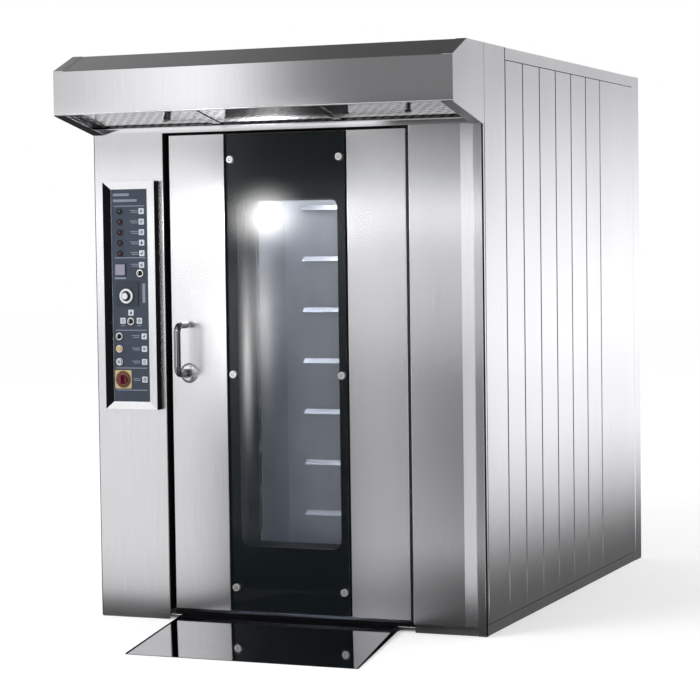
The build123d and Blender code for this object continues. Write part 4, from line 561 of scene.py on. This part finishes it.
# Printed rules and bars: the middle, width, height and corner of each
rule, frame_line, frame_inset = 0.0034, 0.0016, 0.006
frame_width = panel_high.x - panel_low.x - 2 * frame_inset
frame_height = panel_high.z - panel_low.z - 2 * (frame_inset + frame_line / 2)
dividers = [(panel_x - 0.001, z, 0.136, rule, 0) for z in (1.6235, 1.4214, 1.1379, 0.9896, 0.903)]
headings = [
    (panel_low.x + 0.014 + width / 2, z, width, 0.010, 0.001)
    for z, width in ((1.668, 0.070), (1.645, 0.104))
]
under_display = [(panel_x - 0.044, 1.342, 0.048, 0.007, 0.001)]
frame_lines = [
    (panel_x, z, frame_width, frame_line, 0)
    for z in (panel_low.z + frame_inset, panel_high.z - frame_inset)
] + [
    (x, panel_z, frame_line, frame_height, 0)
    for x in (panel_low.x + frame_inset, panel_high.x - frame_inset)
]
words = [
    (tile_x + aside, z + rise, width, 0.003, 0)
    for x, z in lamp_tiles + display_tiles + control_tiles
    for aside, rise, width in ((-0.033, 0.003, 0.034), (-0.030, -0.004, 0.028))
]
beside_timer = [(panel_x + 0.058, 1.283, 0.012, 0.076, 0.003)]
under_tiles = [(panel_x + aside, 1.156, 0.018, 0.003, 0) for aside in (-0.036, 0.036)]
rules = bmesh.new()
for mark in dividers + headings + under_display + frame_lines + words + beside_timer + under_tiles:
    plate(rules, *mark, panel_front, print_depth)
place_piece("panel_rules", rules, "mark_grey", "cabinet")

# A painted shadow: a flat dark plate for the slot of the gauge beside the timer
gauge_x, gauge_z, gauge_width, gauge_height = panel_x + 0.040, 1.281, 0.0052, 0.090
gauge = bmesh.new()
plate(gauge, gauge_x, gauge_z, gauge_width, gauge_height, 0.001, panel_front, print_depth)
place_piece("gauge_shadow", gauge, "knob_black", "cabinet")

# Black edging on the right flank of the bezel and on the slope at its left: a painted dark
# reflection on these faces
bezel_low, bezel_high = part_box("control_bezel")
flank_gap, flank_edging = 0.002, 0.002
slope_front, slope_back = bezel_low.y, bezel_low.y + 0.008
edging = bmesh.new()
bar(
    edging,
    (bezel_high.x, bezel_low.y + 0.0025, bezel_low.z + flank_gap),
    (bezel_high.x + flank_edging, bezel_high.y - 0.0005, bezel_high.z - flank_gap),
)
slope_corners = (
    (-0.7527, slope_front, 0.8293), (-0.7213, slope_back, 0.8577),
    (-0.7213, slope_back, 1.6893), (-0.7527, slope_front, 1.7177),
)
sheet(edging, slope_corners, (0.00015, -0.0006, 0))
place_piece("bezel_dark_reflection", edging, "seal_and_shade_black", "cabinet")

# Dark rings round the pilot lamps and on the isolator's plate
lamp_rings = bmesh.new()
lamp_x = middle("indicator_lamps")[0]
lamp_ring_outline = (
    (0.0054, 0), (0.0054, 0.0054), (0.0092, 0.0078), (0.0112, 0.006), (0.0112, 0),
)
for z in lamp_heights:
    lathed(lamp_rings, lamp_x, z, panel_front, lamp_ring_outline)
place_piece("lamp_rings", lamp_rings, "knob_black", "cabinet")
isolator_ring = bmesh.new()
isolator_outline = ((0.0225, 0), (0.0225, 0.0012), (0.032, 0.0012), (0.0335, 0))
isolator_x, isolator_z = middle("isolator_plate")
lathed(isolator_ring, isolator_x, isolator_z, front("isolator_plate"), isolator_outline, 48)
place_piece("isolator_ring", isolator_ring, "isolator_brown", "cabinet")

# Display glass and the timer's printed dial
instruments_front = front("panel_instruments")
screen_x, screen_z, screen_side = -0.685, 1.375, 0.042
screen = bmesh.new()
plate(screen, screen_x, screen_z, screen_side, screen_side, 0.002, instruments_front, 0.0006)
place_piece("display_screen", screen, "screen_grey", "cabinet")
dial_x, dial_z = -0.6575, 1.272
dial_inner, dial_outer, hub_radius = 0.0205, 0.0288, 0.0125
dial_ring = bmesh.new()
dial_back = instruments_front - 0.0055
ring(dial_ring, dial_x, dial_z, dial_back, dial_inner, dial_outer, 0.0006, steps=48)
disc(dial_ring, dial_x, dial_z, hub_radius, front("timer_dial") + 0.0002, 0.0012)
place_piece("timer_ring", dial_ring, "dial_white", "timer_knob")

# White pointers on the selectors and a white ring on the steam button
selector_bodies = {
    "temperature_selector": "temperature_knob",
    "mode_selector": "mode_knob",
    "light_selector": "light_knob",
}
for node, body in selector_bodies.items():
    x, z = middle(node)
    pointer = bmesh.new()
    plate(pointer, x, z + 0.003, 0.0016, 0.012, 0.0004, front(node), 0.0003)
    place_piece(node + "_mark", pointer, "dial_white", body)
steam_ring = bmesh.new()
ring(steam_ring, *middle("steam_button"), front("steam_button"), 0.0068, 0.0098, 0.0004)
place_piece("steam_ring", steam_ring, "dial_white", "steam_key")

# Small pull handles under the filters: a stem and a cross foot
pulls = bmesh.new()
pull_places = (-0.350, 0.375, 0.618)
for x in pull_places:
    bar(pulls, (x - 0.005, -1.000, 1.944), (x + 0.005, -0.990, 1.972), 0.002)
    bar(pulls, (x - 0.016, -1.001, 1.936), (x + 0.008, -0.987, 1.946), 0.003)
place_piece("filter_pulls", pulls, "knob_black", "cabinet")

# Dark facings under the hems of the hood's cheeks, from the hem's front down to its back: painted
# shade on the undersides, black on the left and dark grey on the right
hem_front, hem_back = (-1.0520, 1.9662), (-0.7440, 1.9034)
hem_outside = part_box("hood_cheeks")[1].x - 0.0002
for name, side, dress in (("left", -1, "seal_and_shade_black"), ("right", 1, "flange_grey")):
    inside, outside = side * 0.7615, side * hem_outside
    facing = bmesh.new()
    corners = (
        (inside, *hem_front), (outside, *hem_front), (outside, *hem_back), (inside, *hem_back),
    )
    sheet(facing, corners, (0, 0, -0.0008))
    place_piece("cheek_painted_shade_" + name, facing, dress, "cabinet")

# A dark strip down each front corner, and rubber edging along the ramp's flanks
wall, strip_face = 0.805, 0.8062
ramp_back_x, ramp_front_x, ramp_half = -0.0077, 0.132, 0.450
ramp_back, ramp_front, ramp_foot = -0.7240, -1.4670, 0.0005
corner_strips, ramp_edging = bmesh.new(), bmesh.new()
for side in (-1, 1):
    left_edge, right_edge = sorted((side * wall, side * strip_face))
    bar(corner_strips, (left_edge, -0.7425, 0.004), (right_edge, -0.7275, 1.902), 0.0003)
    back_x, front_x = ramp_back_x + side * ramp_half, ramp_front_x + side * ramp_half
    flank = (
        (back_x, ramp_back, ramp_foot), (front_x, ramp_front, ramp_foot),
        (front_x, ramp_front, 0.005), (back_x, ramp_back, 0.0225),
    )
    sheet(ramp_edging, flank, (side * 0.002, 0, 0))
place_piece("corner_strips", corner_strips, "seal_and_shade_black", "cabinet")
place_piece("ramp_edging", ramp_edging, "seal_and_shade_black", "cabinet")

# Chamber lamp on the air wall: a flange and a domed opal glass
lamp_across, lamp_up, air_wall_face = -0.3, 1.78, 0.7072
lamp_outline = (
    (0, 0), (0.045, 0), (0.045, 0.003), (0.036, 0.0045), (0.034, 0.010),
    (0.030, 0.016), (0.023, 0.021), (0.012, 0.0245), (0, 0.0255),
)
chamber_lamp = bmesh.new()
lathed(chamber_lamp, lamp_across, lamp_up, air_wall_face, lamp_outline, 40)
place_piece("chamber_lamp", chamber_lamp, "dial_white", "cabinet")


# Studio helpers
def blank(name):
    """A material with no nodes yet."""
    material = bpy.data.materials.new(name)
    material.use_nodes = True
    material.node_tree.nodes.clear()
    return material


def stand(name, width, height, matrix, material):
    """A flat sheet of the studio, which isn't part of the oven."""
    shape = bmesh.new()
    bmesh.ops.create_grid(shape, x_segments=1, y_segments=1, size=0.5)
    mesh = bpy.data.meshes.new(name)
    shape.to_mesh(mesh)
    shape.free()
    mesh.materials.append(material)
    made = bpy.data.objects.new(name, mesh)
    made.matrix_world = matrix @ Matrix.Diagonal((width, height, 1, 1))
    scene.collection.objects.link(made)
    return made


def card(name, width, height, matrix, near, far=None, across=None, strength=1.0, spots=()):
    """A card that only reflections see: its tones run up it, from one set to another across it.

    A spot is a soft patch of light: its middle, its half sizes across and up, and its level.
    """
    material = blank(name)
    place = add(material, "TexCoord")
    own_place = parted(material, place)
    up = span(material, own_place["Y"], -0.5, 0.5, 0, 1)
    tone = ramp(material, up, *near)
    if far:
        side = ramp(material, span(material, own_place["X"], -0.5, 0.5, 0, 1), *across)
        blend = add(material, "Mix", data_type="RGBA")
        links(material).new(side, blend.inputs[MIX_SHARE])
        links(material).new(tone, blend.inputs[MIX_FIRST])
        links(material).new(ramp(material, up, *far), blend.inputs[MIX_SECOND])
        tone = blend.outputs[MIX_RESULT]
    for (x, y), (wide, high), level in spots:
        centred = add(
            material, "Mapping", vector_type="TEXTURE", Location=(x, y, 0), Scale=(wide, high, 1),
        )
        links(material).new(place.outputs["Object"], centred.inputs["Vector"])
        patch = add(material, "TexGradient", gradient_type="QUADRATIC_SPHERE")
        links(material).new(centred.outputs["Vector"], patch.inputs["Vector"])
        patch_light = ramp(material, patch.outputs["Fac"], (0.0, 0.0), (1.0, level))
        tone = mixed(material, tone, patch_light, "ADD")
    glow = add(material, "Emission", Strength=strength)
    links(material).new(tone, glow.inputs["Color"])
    surface = add(material, "OutputMaterial").inputs["Surface"]
    links(material).new(glow.outputs["Emission"], surface)
    made = stand(name, width, height, matrix, material)
    for ray in ("camera", "diffuse", "shadow", "transmission", "volume_scatter"):
        setattr(made, "visible_" + ray, False)


def upright(x, y, z, turned=0.0):
    """Stands a sheet upright. At no turn its right edge is to the right as seen from the front."""
    upended = Matrix.Rotation(turned, 4, "Z") @ Matrix.Rotation(pi / 2, 4, "X")
    return Matrix.Translation((x, y, z)) @ upended


def lying(x, y, z):
    return Matrix.Translation((x, y, z))


def lamp(name, place, target, size, power, height=None, seen=False):
    """A square or a tall lamp aimed at a target. The camera never sees it, but reflections may."""
    light = bpy.data.lights.new(name, "AREA")
    light.shape = "RECTANGLE" if height else "SQUARE"
    light.size = size
    if height:
        light.size_y = height
    light.energy = power
    made = bpy.data.objects.new(name, light)
    made.location = place
    aim = Vector(target) - Vector(place)
    made.rotation_euler = aim.to_track_quat("-Z", "Y").to_euler()
    made.visible_camera = False
    made.visible_glossy = seen
    scene.collection.objects.link(made)


def any_ray(owner, *kinds):
    """1 for a ray of one of these kinds."""
    path = add(owner, "LightPath")
    value = path.outputs[kinds[0]]
    for kind in kinds[1:]:
        most = add(owner, "Math", operation="MAXIMUM")
        links(owner).new(value, most.inputs[0])
        links(owner).new(path.outputs[kind], most.inputs[1])
        value = most.outputs[0]
    return value


# The floor keeps its shadow and is white where nothing shades it
seen_floor_glow = 0.34
floor_finish = blank("floor_white")
floor_paint = add(floor_finish, "BsdfDiffuse", Color=(0.9, 0.9, 0.9, 1))
floor_glow = add(floor_finish, "Emission", Color=(1, 1, 1, 1))
floor_sum = add(floor_finish, "AddShader")
floor_seen = any_ray(floor_finish, "Is Camera Ray", "Is Glossy Ray", "Is Transmission Ray")
floor_level = span(floor_finish, floor_seen, 0, 1, 0, seen_floor_glow)
floor_surface = add(floor_finish, "OutputMaterial").inputs["Surface"]
for source, socket in (
    (floor_level, floor_glow.inputs["Strength"]),
    (floor_paint.outputs["BSDF"], floor_sum.inputs[0]),
    (floor_glow.outputs["Emission"], floor_sum.inputs[1]),
    (floor_sum.outputs["Shader"], floor_surface),
):
    links(floor_finish).new(source, socket)
stand("floor", 60, 60, lying(0, 0, -0.0005), floor_finish)

# The studio's walls are white, with a darker ceiling in reflections
wall_grey, seen_white = (0.72, 0.72, 0.72, 1), (1, 1, 1, 1)
world = bpy.data.worlds.new("studio")
scene.world = world
world.use_nodes = True
ray_place = add(world, "TexCoord")
axes = add(world, "SeparateXYZ")
reflected = add(world, "Mix", data_type="RGBA")
seen = add(world, "Mix", data_type="RGBA")
reflected.inputs[MIX_FIRST].default_value = wall_grey
seen.inputs[MIX_SECOND].default_value = seen_white
links(world).new(ray_place.outputs["Generated"], axes.inputs["Vector"])
walls = ramp(world, axes.outputs["Z"], (0.3, 1.0), (0.55, 0.14), straight=True)
for source, socket in (
    (any_ray(world, "Is Glossy Ray"), reflected.inputs[MIX_SHARE]),
    (walls, reflected.inputs[MIX_SECOND]),
    (any_ray(world, "Is Camera Ray", "Is Transmission Ray"), seen.inputs[MIX_SHARE]),
    (reflected.outputs[MIX_RESULT], seen.inputs[MIX_FIRST]),
    (seen.outputs[MIX_RESULT], world.node_tree.nodes["Background"].inputs["Color"]),
):
    links(world).new(source, socket)

# The key lamp outside, and three lamps in the chamber
lamp("key_lamp", (-4.0, -6.0, 6.0), (0, 0, 1), 4.0, 220)
lamp("chamber_light", (-0.40, 0.50, 1.80), (-0.50, 0.60, 0.9), 0.25, 5.4, seen=True)
lamp("ceiling_light", (0.1, -0.30, 1.86), (-0.3, 0.6, 1.0), 0.4, 4, seen=True)
lamp("wall_light", (-0.56, 0.40, 0.85), (-0.69, 0.66, 0.85), 0.3, 0.8, height=1.5, seen=True)

# What the front reflects: a card before it and the floor at its foot
light_front = (
    (0.0, 0.66), (0.03, 0.82), (0.09, 0.88), (0.2, 0.86), (0.42, 0.87), (0.52, 0.88), (0.6, 1.03),
    (0.7, 1.2), (0.76, 1.2), (0.795, 1.36), (0.83, 1.36), (0.86, 1.12), (0.93, 0.95), (0.985, 0.5),
)
dark_front = (
    (0.0, 0.0), (0.04, 0.04), (0.075, 0.16), (0.1, 0.36), (0.16, 0.26), (0.3, 0.16), (0.46, 0.17),
    (0.52, 0.36), (0.6, 0.5), (0.74, 0.6), (0.79, 1.0), (0.82, 1.05), (0.85, 0.7), (0.9, 0.28),
    (0.985, 0.22),
)
sides_of_front = (
    (0.0, 0.0), (0.47, 0.0), (0.62, 0.12), (0.68, 0.45), (0.71, 0.83), (0.755, 0.86), (0.77, 1.0),
    (0.82, 1.0), (0.85, 0.9), (0.875, 0.05), (1.0, 0.05),
)
front_place = upright(-0.6, -1.55, 0.98)
card("front_card", 4.0, 1.96, front_place, light_front, dark_front, sides_of_front)
foot_tones = ((0.0, 0.8), (0.35, 0.7), (0.48, 0.4), (0.58, 0.12), (1.0, 0.05))
foot_dark = ((0.0, 0.03), (1.0, 0.03))
foot_sides = ((0.0, 0.0), (0.484, 0.0), (0.502, 0.95), (1.0, 1.0))
card("front_foot", 4.0, 0.9, lying(-0.6, -1.2, 0.0002), foot_tones, foot_dark, foot_sides)

# What the door's glass reflects: soft patches of the room on dark
glass_left = (
    (0.0, 0.0), (0.1, 0.05), (0.14, 0.2), (0.2, 0.16), (0.32, 0.2), (0.44, 0.36), (0.52, 0.62),
    (0.64, 0.72), (0.72, 0.5), (0.8, 1.0), (0.88, 0.5), (0.93, 0.35), (1.0, 0.3),
)
glass_right = (
    (0.0, 0.0), (0.25, 0.03), (0.44, 0.06), (0.55, 0.14), (0.68, 0.3), (0.78, 0.55), (0.84, 0.4),
    (0.9, 0.12), (1.0, 0.06),
)
glass_sides = ((0.0, 0.0), (0.12, 0.3), (0.3, 0.75), (0.8, 1.0))
glass_spots = (
    ((-0.17, 0.305), (0.5, 0.11), 18.0),
    ((-0.2, 0.1), (0.26, 0.3), 5.0),
    ((-0.34, 0.02), (0.1, 0.38), 7.0),
)
glass_place = upright(-0.356, -1.545, 0.98)
card(
    "glass_card", 0.545, 1.96, glass_place, glass_left, glass_right, glass_sides,
    spots=glass_spots,
)

# What the hood's fascia, the header and the hood's brow reflect
fascia_tones = (
    (0.0, 0.5), (0.379, 0.47), (0.424, 0.38), (0.469, 0.25), (0.5135, 0.06), (0.536, 0.0),
    (0.5585, 0.04), (0.581, 0.18), (0.6035, 0.42), (0.626, 0.64), (0.648, 0.79), (0.671, 0.84),
    (0.693, 0.86), (1.0, 0.83),
)
light, dark = ((0.0, 1.0), (1.0, 1.0)), ((0.0, 0.0), (1.0, 0.0))
card("fascia_card", 4.0, 0.9, upright(-0.6, -1.55, 2.41), light, dark, fascia_tones, 1.3)
header_light, header_dark = ((0.0, 1.1), (1.0, 1.1)), ((0.0, 0.05), (1.0, 0.05))
header_sides = ((0.0, 0.0), (0.67, 0.0), (0.69, 1.0), (1.0, 1.0))
header_place = upright(-0.6, -1.5, 1.971)
card("header_card", 4.0, 0.048, header_place, header_light, header_dark, header_sides)
brow_light, brow_dark = ((0.0, 0.2), (1.0, 0.2)), ((0.0, 0.06), (1.0, 0.06))
brow_sides = ((0.3, 0.0), (0.6, 0.85), (0.8, 1.0))
card("brow_card", 2.4, 1.6, lying(-0.6, 0.3, 3.2), brow_light, brow_dark, brow_sides)

# What the right side reflects: a card, the floor at its foot and a dark flag for its seams
side_x = 1.9
side_tones = (
    (0.0, 0.66), (0.05, 0.96), (0.1, 1.12), (0.168, 1.2), (0.259, 1.25), (0.3, 1.3), (0.335, 1.38),
    (0.498, 1.36), (0.574, 1.27), (0.655, 1.12), (0.7315, 0.97), (0.767, 0.88), (0.833, 0.74),
    (0.884, 0.64), (0.95, 0.52),
)
card("side_card", 5.8, 2.6, upright(side_x, 4.0, 1.3, pi / 2), side_tones)
near_wall, far_off = ((0.0, 0.1), (1.0, 0.1)), ((0.0, 0.8), (1.0, 0.8))
foot_fade = ((0.33, 0.0), (0.55, 0.08), (0.7, 0.25), (0.8, 0.45), (0.95, 0.85), (1.0, 1.0))
card("side_foot", 1.1, 9.0, lying(1.35, 3.6, 0.0002), near_wall, far_off, foot_fade)
card("right_flag", 3.3, 2.6, upright(side_x, -0.9, 1.3, pi / 2), ((0.0, 0.09), (1.0, 0.13)))
